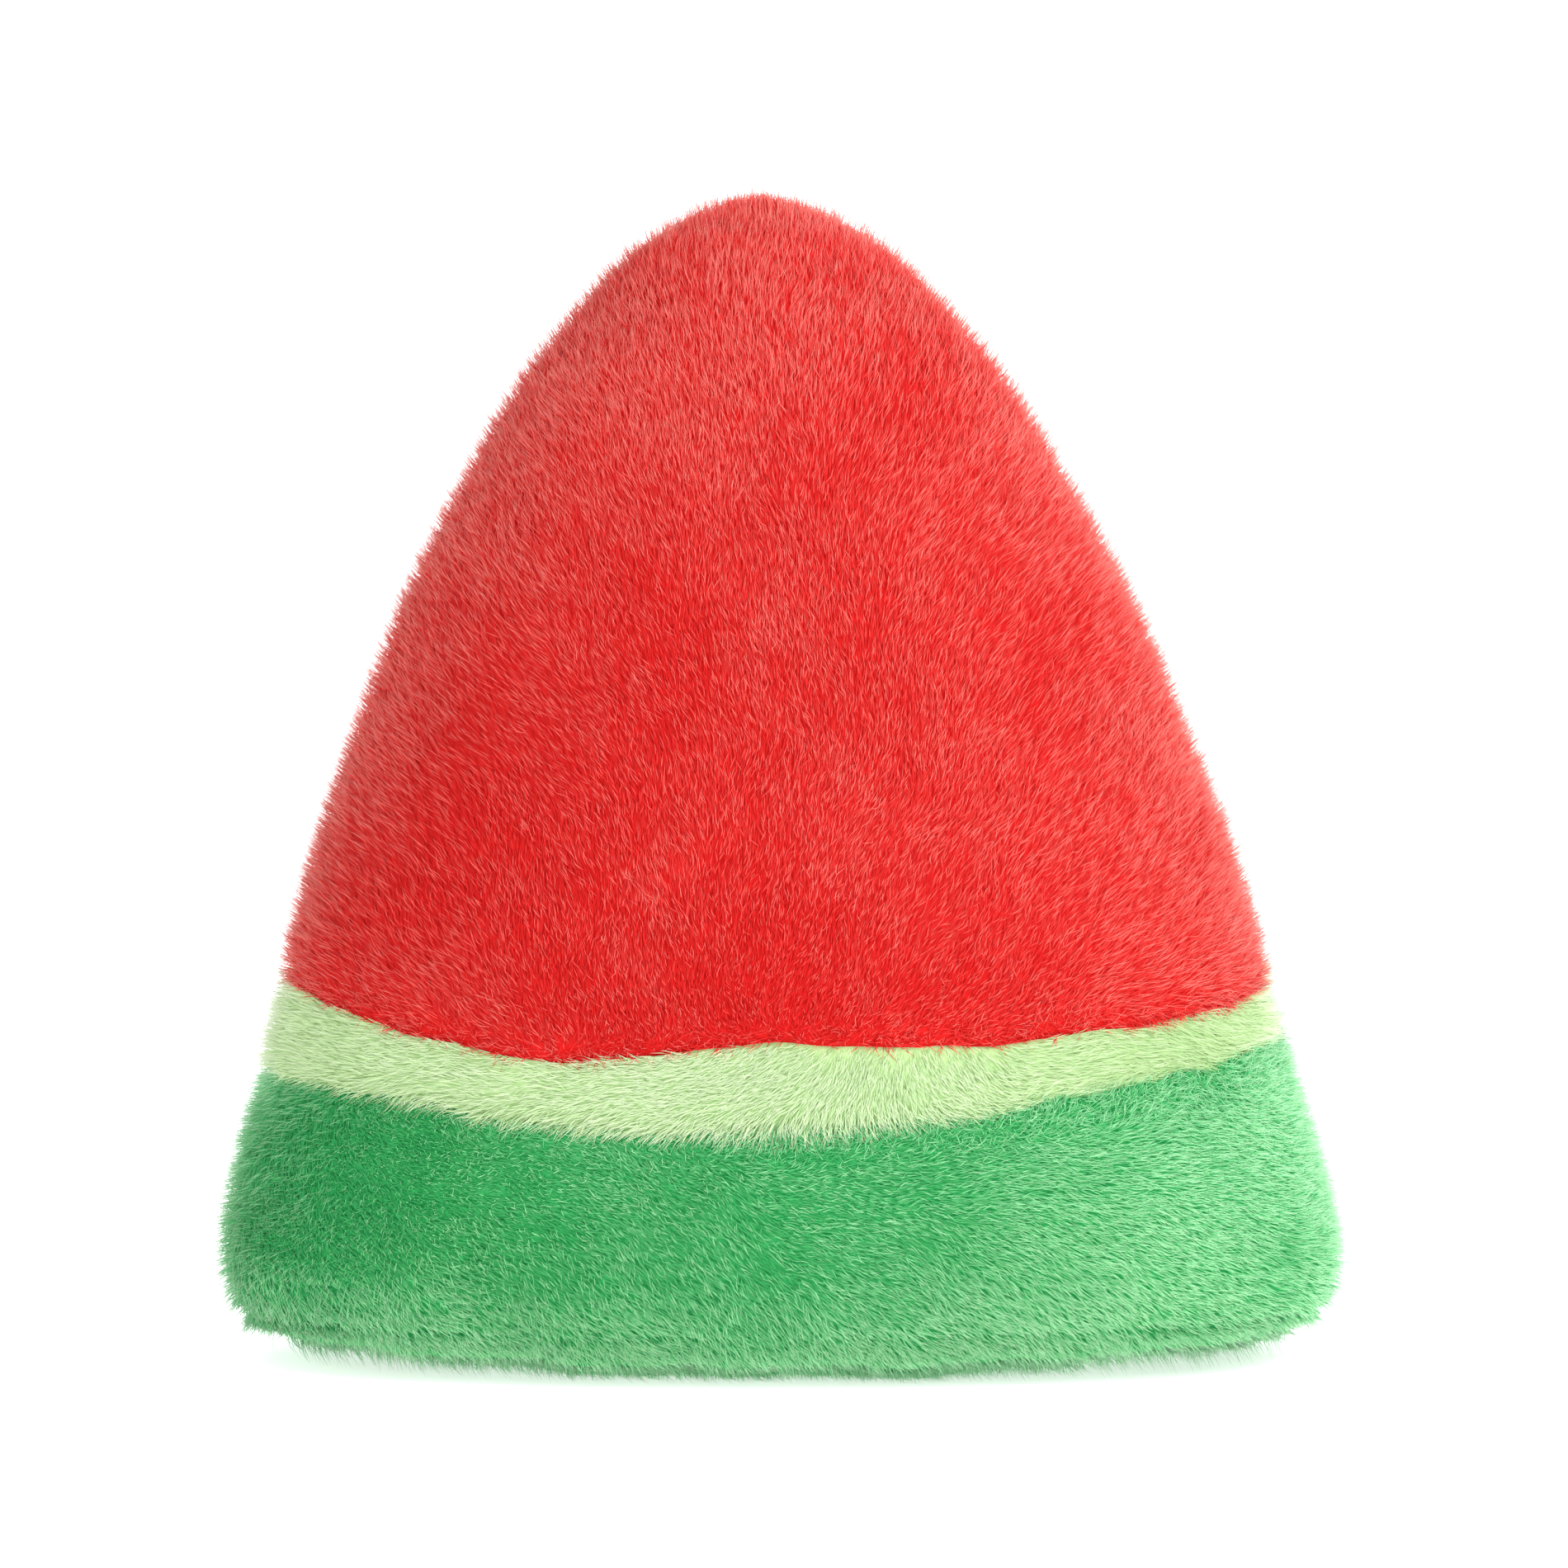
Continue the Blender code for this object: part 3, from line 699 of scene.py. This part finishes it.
def strands(panel, seed):
    """Corners, normals and tones of a panel's strands, the tones with their painted light and
    shade.
    """
    random = np.random.default_rng(seed)
    density, length, root_lean, tip_lean = PILE[panel.kind]
    across, up, points, normal, right = roots(panel, density, random)
    count = len(points)

    way = comb_direction(panel, points, normal, right, across, up)
    grip = 1 if panel.kind == "base" else np.clip(np.linalg.norm(way, axis=1) / GRIP, 0, 1)
    way = unit(way)
    ragged = [ripple(points, TUFT_RIPPLE, SEED + 10 + number) for number in range(3)]
    cell = np.floor(points / TUFT + TUFT_RAGGED * np.stack(ragged, axis=-1)).astype(int)
    tuft = np.random.default_rng(SEED).normal(size=(TUFT_KINDS, 3))[(cell @ TUFT_KEYS) % TUFT_KINDS]
    stray = (
        math.radians(WIDE_SWIRL) * ripple(points, WIDE_SWIRL_LENGTH, SEED + 1)
        + math.radians(SMALL_SWIRL) * ripple(points, SMALL_SWIRL_LENGTH, SEED + 2)
        + math.radians(TUFT_STRAY) * tuft[:, 0]
        + math.radians(STRAND_STRAY) * random.normal(size=count)
    )
    stray = stray * seam_looseness(panel, across, up)
    draw = random.uniform(size=count)
    upright = draw < UPRIGHT_SHARE
    edge = np.minimum(across, 1 - across)
    beside_seam = fade(edge, AWN_EDGE_REACH) * (panel.kind != "base")
    awn = draw > 1 - AWN_SHARE - AWN_EDGE_SHARE * beside_seam
    way = turned(way, normal, stray * np.where(upright | awn, LOOSE_STRAY, 1))
    stand = (
        STAND_SWELL * ripple(points, STAND_SWELL_LENGTH, SEED + 3)
        + TUFT_STAND * tuft[:, 1]
        + STRAND_STAND * random.normal(size=count)
    )
    stand -= np.where(upright, UPRIGHT_LEAN, 0) + np.where(awn, AWN_LEAN, 0)
    root_lean = np.radians(np.clip(root_lean + stand, *ROOT_LEANS)) * grip
    tip_lean = np.radians(np.clip(tip_lean + stand, *TIP_LEANS)) * grip
    length = length * (1 + TUFT_LENGTH * tuft[:, 2] + STRAND_LENGTH * random.normal(size=count))
    length = length * np.where(upright, UPRIGHT_GROWTH, np.where(awn, AWN_GROWTH, 1))
    length = length * (1 - SHORTER + SHORTER * grip)
    if panel.kind == "rind":
        low = OVERHANG * fade(up, OVERHANG_REACH)
        length = length * (1 + low * ramp(OVERHANG_END - across, 0, OVERHANG_FADE))

    first = unit(normal * np.cos(root_lean)[:, None] + way * np.sin(root_lean)[:, None])
    bent = turned(way, normal, math.radians(BEND_STRAY) * random.normal(size=count))
    last = unit(normal * np.cos(tip_lean)[:, None] + bent * np.sin(tip_lean)[:, None])
    root = tucked(points, normal) + normal * (UNDERFUR - ROOT_SUNK)
    middle = root + first * (BEND_AT * length)[:, None]
    tip = middle + last * ((1 - BEND_AT) * length)[:, None]

    half = np.where(awn, AWN, STRAND) * random.uniform(*STRAND_WIDTHS, count)
    beside = unit(np.cross(first, normal) + 1e-6)
    over = unit(np.cross(first, beside))
    spin = random.uniform(0, 2 * math.pi, count)
    rings, outs = [], []
    for centre, share in ((root, 1), (middle, STRAND_MIDDLE)):
        for corner in range(3):
            angle = spin + corner * 2 * math.pi / 3
            away = beside * np.cos(angle)[:, None] + over * np.sin(angle)[:, None]
            rings.append(centre + away * (half * share)[:, None])
            outs.append(away)
    corners = np.stack(rings + [tip], axis=1)
    corners[..., 2] = np.maximum(corners[..., 2], LOWEST)
    outs.append(last)
    soft = SOFTNESS[panel.colour]
    normals = np.stack([unit(normal * soft + out * (1 - soft)) for out in outs], axis=1)

    tone_and_painted_light = tone_with_painted_light(panel, points, across) + TUFT_TONE * tuft[:, 0]
    tone_and_painted_light = tone_and_painted_light + STRAND_TONE * random.normal(size=count)
    # Painted highlights: uprights are painted lighter, the more so where the pile is painted
    # lighter
    light = FLECK_HIGHLIGHTS[panel.colour] + FLECK_GAIN * np.maximum(0, tone_and_painted_light - KIND_TONE[panel.colour])
    tone_and_painted_light += np.where(upright, light * random.uniform(*UPRIGHT_HIGHLIGHTS, count), 0)
    # Painted light on the awns
    tone_and_painted_light += np.where(awn, AWN_PAINTED_LIGHT, 0)
    return corners, normals, np.clip(tone_and_painted_light, *TONES)


# A strand's corners are three at the root, three at the bend and the tip
STRAND_FACES = (
    (0, 1, 4, 3), (1, 2, 5, 4), (2, 0, 3, 5),
    (3, 4, 6), (4, 5, 6), (5, 3, 6),
    (0, 2, 1),
)
# Their places in the map: the way along the strand, and a hair's breadth to either side of its
# tone. The root's cap is spread by a hair too, so that no face of the map is empty
ALONG = (0.01, 0.01, 0.01, 0.46, 0.46, 0.46, 0.99)
BESIDE = (-0.004, 0.004, 0.0, -0.004, 0.004, 0.0, 0.0)
CAP_ALONG = (0.0, 0.004, 0.008)
TONES = (0.01, 0.99)


def pile_piece(name, panel, corners, normals, tone_and_painted_light, material):
    """One piece of pile: closed three-sided strands, with their tone, painted light and shade
    included, and the way along them as the two axes of their map."""
    count = len(corners)
    mesh = bpy.data.meshes.new(name)
    mesh.vertices.add(count * 7)
    mesh.vertices.foreach_set("co", corners.astype(np.float32).ravel())
    pattern = np.concatenate([np.array(face) for face in STRAND_FACES])
    sizes = np.tile([len(face) for face in STRAND_FACES], count)
    loops = (np.arange(count)[:, None] * 7 + pattern).ravel()
    mesh.loops.add(len(loops))
    mesh.loops.foreach_set("vertex_index", loops.astype(np.int32))
    mesh.polygons.add(len(sizes))
    starts = np.concatenate(([0], np.cumsum(sizes)[:-1]))
    mesh.polygons.foreach_set("loop_start", starts.astype(np.int32))
    mesh.update(calc_edges=True)
    layer = mesh.uv_layers.new(name="OFBake")
    u = tone_and_painted_light[:, None] + np.array(BESIDE)[pattern]
    v = np.broadcast_to(np.array(ALONG)[pattern], u.shape)
    flat = np.stack((u, v), axis=-1)
    flat[:, -len(CAP_ALONG):, 1] += np.array(CAP_ALONG)
    layer.data.foreach_set("uv", flat.astype(np.float32).ravel())
    mesh.shade_smooth()
    free = mesh.attributes.new("custom_normal", "FLOAT_VECTOR", "POINT")
    free.data.foreach_set("vector", normals.astype(np.float32).ravel())
    new_piece(name, mesh, material, panel)


def panel_pile(panel, material, seed):
    """A panel's pile, in as many pieces as its strands need."""
    corners, normals, tone_and_painted_light = strands(panel, seed)
    pieces = math.ceil(len(corners) / MOST_STRANDS)
    order = np.argsort(corners[:, 0, 0], kind="stable")
    for number, part in enumerate(np.array_split(order, pieces)):
        name = f"{panel.stem}_pile_{number + 1}"
        pile_piece(name, panel, corners[part], normals[part], tone_and_painted_light[part], material)


# ---- materials

def new_group(name, inputs, outputs):
    """A shader node group with named sockets, and its two ends."""
    group = bpy.data.node_groups.new(name, "ShaderNodeTree")
    for label, kind, value in inputs:
        socket = group.interface.new_socket(label, in_out="INPUT", socket_type=kind)
        socket.default_value = value
    for label, kind in outputs:
        group.interface.new_socket(label, in_out="OUTPUT", socket_type=kind)
    return group, group.nodes.new("NodeGroupInput"), group.nodes.new("NodeGroupOutput")


def node(tree, kind, settings=None, **values):
    """A node with its settings and the values of its named sockets."""
    made = tree.nodes.new(kind)
    for key, value in (settings or {}).items():
        setattr(made, key, value)
    for key, value in values.items():
        made.inputs[key.replace("_", " ")].default_value = value
    return made


COLOUR, FLOAT = "NodeSocketColor", "NodeSocketFloat"
WAVES_PER_SIZE = 0.3  # the scale at which one band of a wave is as wide as a stitch or a ply


def worked(tree, kind, operation, *values):
    """The result of a sum on sockets or numbers."""
    made = node(tree, kind, {"operation": operation})
    for place, value in enumerate(values):
        if isinstance(value, bpy.types.NodeSocket):
            socket = made.inputs["Scale"] if place and operation == "SCALE" else made.inputs[place]
            tree.links.new(value, socket)
        else:
            made.inputs[place].default_value = value
    return made.outputs[0]


def mapped(tree, value, kind="LINEAR", **limits):
    """A value moved from one range to another."""
    made = node(tree, "ShaderNodeMapRange", {"interpolation_type": kind}, **limits)
    tree.links.new(value, made.inputs["Value"])
    return made.outputs[0]


def mixed(tree, share, first, second, kind="RGBA"):
    """A share of the way from the first colour or number to the second."""
    made = node(tree, "ShaderNodeMix", {"data_type": kind})
    start = 6 if kind == "RGBA" else 2
    for place, socket in ((0, share), (start, first), (start + 1, second)):
        tree.links.new(socket, made.inputs[place])
    return made.outputs[2 if kind == "RGBA" else 0]


def laid(tree, texture, per_size, size):
    """A texture laid on the piece's own coordinates, its waves or cells of a given size."""
    place = tree.nodes.new("ShaderNodeTexCoord")
    scale = worked(tree, "ShaderNodeMath", "DIVIDE", per_size, size)
    tree.links.new(place.outputs["Object"], texture.inputs["Vector"])
    tree.links.new(scale, texture.inputs["Scale"])
    return texture.outputs


def put_out(tree, result, colour, height=None):
    """Links a group's colour, and its height if it has one, to what it gives."""
    tree.links.new(colour, result.inputs["Color"])
    if height is not None:
        tree.links.new(height, result.inputs["Height"])
    return tree


def pile_group():
    """Colour along dyed fibres: painted shade at the root, the dye in the middle, a painted
    highlight at the tip that grows with the tone, each strand lighter or darker than the next."""
    group, given, result = new_group(
        "pile_colour",
        [
            ("Shaded Root", COLOUR, (0.2, 0.2, 0.2, 1)),
            ("Dye", COLOUR, (0.5, 0.5, 0.5, 1)),
            ("Highlight Tip", COLOUR, (0.9, 0.9, 0.9, 1)),
            ("Tone Spread", FLOAT, 0.5),
        ],
        [("Color", COLOUR)],
    )
    place = group.nodes.new("ShaderNodeUVMap")
    place.uv_map = "OFBake"
    split = group.nodes.new("ShaderNodeSeparateXYZ")
    group.links.new(place.outputs[0], split.inputs[0])
    tone_and_painted_light, along = split.outputs[0], split.outputs[1]
    out_of_root = mapped(group, along, "SMOOTHSTEP", From_Max=0.5)
    to_tip = mapped(group, along, From_Min=0.35)
    highlight_by_tone = mapped(group, tone_and_painted_light, From_Min=0.2, From_Max=0.95)
    # Painted shade: the strand darkens from the dye towards its root
    root_shaded = mixed(group, out_of_root, given.outputs["Shaded Root"], given.outputs["Dye"])
    # Painted highlight: the tip colour, the more so the lighter the tone
    tip_highlight = worked(group, "ShaderNodeMath", "MULTIPLY", to_tip, highlight_by_tone)
    highlighted = mixed(group, tip_highlight, root_shaded, given.outputs["Highlight Tip"])
    # Each strand lighter or darker by its tone, painted light and shade included
    centred = worked(group, "ShaderNodeMath", "SUBTRACT", tone_and_painted_light, 0.5)
    spread = worked(
        group, "ShaderNodeMath", "MULTIPLY_ADD", centred, given.outputs["Tone Spread"], 1.0
    )
    return put_out(group, result, worked(group, "ShaderNodeVectorMath", "SCALE", highlighted, spread))


def underfur_group():
    """The dense short fibres under the strands: dye that mottles softly, with painted shade between
    the tufts, where their relief is low.
    """
    group, given, result = new_group(
        "underfur",
        [
            ("Tuft Shade", COLOUR, (0.2, 0.2, 0.2, 1)),
            ("Dye", COLOUR, (0.5, 0.5, 0.5, 1)),
            ("Tuft Size", FLOAT, 0.001),
        ],
        [("Color", COLOUR), ("Height", FLOAT)],
    )
    noise = node(group, "ShaderNodeTexNoise", None, Detail=3.0, Roughness=0.6)
    tufts = laid(group, noise, 1.0, given.outputs["Tuft Size"])[0]
    share = mapped(group, tufts, From_Min=0.3, From_Max=0.7)
    # Painted shade: the shaded root colour fills the low places between tufts
    colour = mixed(group, share, given.outputs["Tuft Shade"], given.outputs["Dye"])
    return put_out(group, result, colour, tufts)


def knit_group():
    """Courses and wales of a fine knit, as a colour and a height."""
    group, given, result = new_group(
        "knit",
        [("Yarn", COLOUR, (0.5, 0.5, 0.5, 1)), ("Stitch", FLOAT, 0.0009)],
        [("Color", COLOUR), ("Height", FLOAT)],
    )
    waves = []
    for way, profile in (("X", "SIN"), ("Z", "SAW")):
        settings = {"bands_direction": way, "wave_profile": profile}
        wave = node(group, "ShaderNodeTexWave", settings, Distortion=1.5, Detail=1.0)
        waves.append(laid(group, wave, WAVES_PER_SIZE, given.outputs["Stitch"])["Fac"])
    loops = worked(group, "ShaderNodeMath", "MULTIPLY", *waves)
    shade = mapped(group, loops, To_Min=0.6, To_Max=1.1)
    yarn = worked(group, "ShaderNodeVectorMath", "SCALE", given.outputs["Yarn"], shade)
    return put_out(group, result, yarn, loops)


def twist_group():
    """The plies of a twisted sewing thread, as a colour and a height."""
    group, given, result = new_group(
        "thread_twist",
        [("Yarn", COLOUR, (0.5, 0.5, 0.5, 1)), ("Ply", FLOAT, 0.0004)],
        [("Color", COLOUR), ("Height", FLOAT)],
    )
    wave = node(group, "ShaderNodeTexWave", {"bands_direction": "DIAGONAL"}, Distortion=0.6)
    plies = laid(group, wave, WAVES_PER_SIZE, given.outputs["Ply"])["Fac"]
    shade = mapped(group, plies, To_Min=0.65, To_Max=1.1)
    yarn = worked(group, "ShaderNodeVectorMath", "SCALE", given.outputs["Yarn"], shade)
    return put_out(group, result, yarn, plies)


def speckle_group():
    """Cells or fibres of one size, lighter and darker, as a colour and a height: pellets in a
    bag, a plain weave, or loose filling, by how far the cells are drawn out."""
    group, given, result = new_group(
        "speckle",
        [
            ("Light", COLOUR, (0.9, 0.9, 0.9, 1)),
            ("Shade", COLOUR, (0.5, 0.5, 0.5, 1)),
            ("Grain", FLOAT, 0.002),
            ("Drawn Out", FLOAT, 0.0),
        ],
        [("Color", COLOUR), ("Height", FLOAT)],
    )
    cells = group.nodes.new("ShaderNodeTexVoronoi")
    noise = node(group, "ShaderNodeTexNoise", None, Detail=6.0, Roughness=0.7, Distortion=2.5)
    grains, fibres = (laid(group, kind, 1.0, given.outputs["Grain"])[0] for kind in (cells, noise))
    round_top = mapped(group, grains, From_Max=0.75, To_Min=1.0, To_Max=0.0)
    height = mixed(group, given.outputs["Drawn Out"], round_top, fibres, "FLOAT")
    colour = mixed(group, height, given.outputs["Shade"], given.outputs["Light"])
    return put_out(group, result, colour, height)


def surface(name, group, values, bump=None, **shader_values):
    """A material whose colour, and height if it has one, comes from a group."""
    material = bpy.data.materials.new(name)
    material.use_nodes = True
    tree = material.node_tree
    shader = tree.nodes["Principled BSDF"]
    effect = tree.nodes.new("ShaderNodeGroup")
    effect.node_tree = group
    for key, value in values.items():
        effect.inputs[key].default_value = value
    tree.links.new(effect.outputs["Color"], shader.inputs["Base Color"])
    if bump:
        raised = node(tree, "ShaderNodeBump", None, Strength=bump[0], Distance=bump[1])
        tree.links.new(effect.outputs["Height"], raised.inputs["Height"])
        tree.links.new(raised.outputs[0], shader.inputs["Normal"])
    for key, value in shader_values.items():
        shader.inputs[key.replace("_", " ")].default_value = value
    return material


def rgb(r, g, b):
    """An opaque colour."""
    return (r, g, b, 1)


# Root, dye, tip and sheen colours of the three plushes, and how much their strands vary. The root
# colour is the dye deepened by painted shade, and also colours the underfur's hollows and the knit;
# the tip colour is a painted highlight
DYES = {
    "flesh": (
        rgb(0.62, 0.008, 0.008), rgb(0.77, 0.016, 0.015),
        rgb(0.88, 0.38, 0.32), rgb(1, 0.60, 0.54), 0.15,
    ),
    "rind": (
        rgb(0.48, 0.72, 0.32), rgb(0.52, 0.76, 0.34),
        rgb(0.92, 0.97, 0.78), rgb(0.97, 1, 0.88), 0.15,
    ),
    "skin": (
        rgb(0.014, 0.27, 0.07), rgb(0.050, 0.46, 0.13),
        rgb(0.62, 0.93, 0.61), rgb(0.75, 1, 0.78), 0.3,
    ),
}
TUFT_SIZE, STITCH, PLY = 0.9 * MM, 0.9 * MM, 0.35 * MM
THREADS = {
    "red_thread": rgb(0.70, 0.03, 0.03),
    "green_thread": rgb(0.04, 0.38, 0.10),
    "white_thread": rgb(0.80, 0.79, 0.76),
}
# Light and shade, size of grain and how far it is drawn out, strength and depth of its relief,
# and the surface's own values
STUFFING = {
    "polyester_fibre": (
        rgb(0.92, 0.92, 0.90), rgb(0.66, 0.66, 0.65), 3 * MM, 1.0,
        (0.6, 0.6 * MM), {"Roughness": 0.95, "Sheen_Weight": 0.4},
    ),
    "bag_cloth": (
        rgb(0.84, 0.83, 0.80), rgb(0.55, 0.54, 0.51), 0.5 * MM, 0.25,
        (0.5, 0.1 * MM), {"Roughness": 0.85},
    ),
    "pellets": (
        rgb(0.82, 0.84, 0.86), rgb(0.35, 0.37, 0.40), 3 * MM, 0.0,
        (0.8, 0.8 * MM), {"Roughness": 0.4},
    ),
}


def plush_materials():
    """The strands', the underfur's and the backing's materials of the three plushes."""
    pile, fur, knit = pile_group(), underfur_group(), knit_group()
    made = {}
    for colour, (root, dye, tip, sheen, spread) in DYES.items():
        strand = surface(
            colour + "_pile", pile,
            {"Shaded Root": root, "Dye": dye, "Highlight Tip": tip, "Tone Spread": spread},
            Roughness=0.85, Specular_IOR_Level=0.2,
            Sheen_Weight=0.3, Sheen_Roughness=0.3, Sheen_Tint=sheen,
        )
        bed = surface(
            colour + "_underfur", fur,
            {"Tuft Shade": root, "Dye": dye, "Tuft Size": TUFT_SIZE}, bump=(0.3, 0.1 * MM),
            Roughness=0.9, Specular_IOR_Level=0.15,
        )
        back = surface(
            colour + "_knit", knit, {"Yarn": root, "Stitch": STITCH}, bump=(0.4, 0.2 * MM),
            Roughness=0.9,
        )
        made[colour] = (strand, bed, back)
    return made


# ---- inner pieces

def finish_inner_pieces():
    """Materials for the stitching, the filling and the bag of pellets, which stay as they are."""
    twist, speckle = twist_group(), speckle_group()
    slots = {}
    for name, yarn in THREADS.items():
        slots[name] = surface(
            name, twist, {"Yarn": yarn, "Ply": PLY}, bump=(0.5, 0.1 * MM),
            Roughness=0.55, Sheen_Weight=0.2,
        )
    for name, (light, shade, grain, drawn_out, relief, finish) in STUFFING.items():
        values = {"Light": light, "Shade": shade, "Grain": grain, "Drawn Out": drawn_out}
        slots[name] = surface(name, speckle, values, bump=relief, **finish)
    wanted = {part["node"]: part["material_slot"] for part in frame["record"]["subparts"]}
    for name, item in frame["nodes"].items():
        if not item.hide_render:
            item.data.materials.clear()
            item.data.materials.append(slots[wanted[name]])


# ---- stage

WORLD_LIGHT = 0.72
# The paper floor: how far it comes to the front, where and how it curves up behind, its top and
# half its width
FLOOR_FRONT, FLOOR_BACK, FLOOR_CURVE, FLOOR_TOP, FLOOR_SIDE = -1.2, 0.5, 0.5, 2.0, 2.5
FLOOR_STEPS = 12
FLOOR_PALE = 0.85
FLOOR_GLOW = 0.6  # it gives off a little light, so that the shadow on it stays soft and faint
LAMPS = (  # place, size and watts
    ("key", (0.52, -0.62, 0.62), 0.5, 4.7),
    ("fill", (-0.7, -0.6, 0.4), 0.7, 1.8),
    ("low", (0.2, -0.75, 0.04), 0.5, 2.6),
    ("rim", (0.35, 0.55, 0.6), 0.4, 5.0),
)
LENS, HALF_SENSOR = 150, 18
VIEW_SIDE = 0.171  # of the square that the camera sees at the toy
VIEW_RISE = math.radians(2.5)  # it looks down by this
VIEW_CENTRE = Vector((0, 0, 0.0626))


def paper_floor():
    """A sheet of pale paper that lies under the toy and curves up behind it, and glows a little as
    painted light.
    """
    form = bmesh.new()
    sweep = [(FLOOR_FRONT, 0.0), (FLOOR_BACK, 0.0)]
    for i in range(1, FLOOR_STEPS + 1):
        angle = math.pi / 2 * i / FLOOR_STEPS
        sweep.append((
            FLOOR_BACK + FLOOR_CURVE * math.sin(angle),
            FLOOR_CURVE - FLOOR_CURVE * math.cos(angle),
        ))
    sweep.append((FLOOR_BACK + FLOOR_CURVE, FLOOR_TOP))
    rows = [[form.verts.new((x, y, z)) for x in (-FLOOR_SIDE, FLOOR_SIDE)] for y, z in sweep]
    for low, high in zip(rows, rows[1:]):
        form.faces.new((low[0], low[1], high[1], high[0]))
    mesh = bpy.data.meshes.new("floor")
    form.to_mesh(mesh)
    form.free()
    mesh.shade_smooth()
    pale = bpy.data.materials.new("glowing_floor_paper")
    pale.use_nodes = True
    paper = pale.node_tree.nodes["Principled BSDF"]
    paper.inputs["Base Color"].default_value = rgb(FLOOR_PALE, FLOOR_PALE, FLOOR_PALE)
    paper.inputs["Roughness"].default_value = 0.9
    # The paper glows, though it is no lamp: painted light that softens its shadow and lights the
    # toy from below
    paper.inputs["Emission Color"].default_value = rgb(1, 1, 1)
    paper.inputs["Emission Strength"].default_value = FLOOR_GLOW
    mesh.materials.append(pale)
    floor = bpy.data.objects.new("floor", mesh)
    bpy.context.scene.collection.objects.link(floor)


def turn_to(thing, target):
    """Points a lamp or a camera at a place."""
    thing.rotation_euler = (target - thing.location).to_track_quat("-Z", "Y").to_euler()


def studio():
    """The floor, soft lights and the camera."""
    scene = bpy.context.scene
    scene.view_settings.view_transform = "Standard"
    world = bpy.data.worlds.new("studio")
    world.use_nodes = True
    background = world.node_tree.nodes["Background"]
    background.inputs["Color"].default_value = rgb(1, 1, 1)
    background.inputs["Strength"].default_value = WORLD_LIGHT
    scene.world = world
    paper_floor()

    for name, place, size, watts in LAMPS:
        lamp = bpy.data.lights.new(name, "AREA")
        lamp.size = size
        lamp.energy = watts
        light = bpy.data.objects.new(name, lamp)
        light.location = place
        turn_to(light, Vector((0, 0, HEIGHT / 2)))
        scene.collection.objects.link(light)

    camera = bpy.data.objects.new("camera", bpy.data.cameras.new("camera"))
    camera.data.lens = LENS
    camera.data.clip_start = 0.01
    scene.collection.objects.link(camera)
    scene.camera = camera
    away = VIEW_SIDE / 2 / (HALF_SENSOR / LENS)
    camera.location = VIEW_CENTRE + Vector((0, -math.cos(VIEW_RISE), math.sin(VIEW_RISE))) * away
    turn_to(camera, VIEW_CENTRE)


# ---- main

plushes = plush_materials()
for number, panel in enumerate(panels()):
    strand, underfur, knit = plushes[panel.colour]
    panel_sheets(panel, knit, underfur)
    panel_pile(panel, strand, SEED * 100 + number)
finish_inner_pieces()
studio()
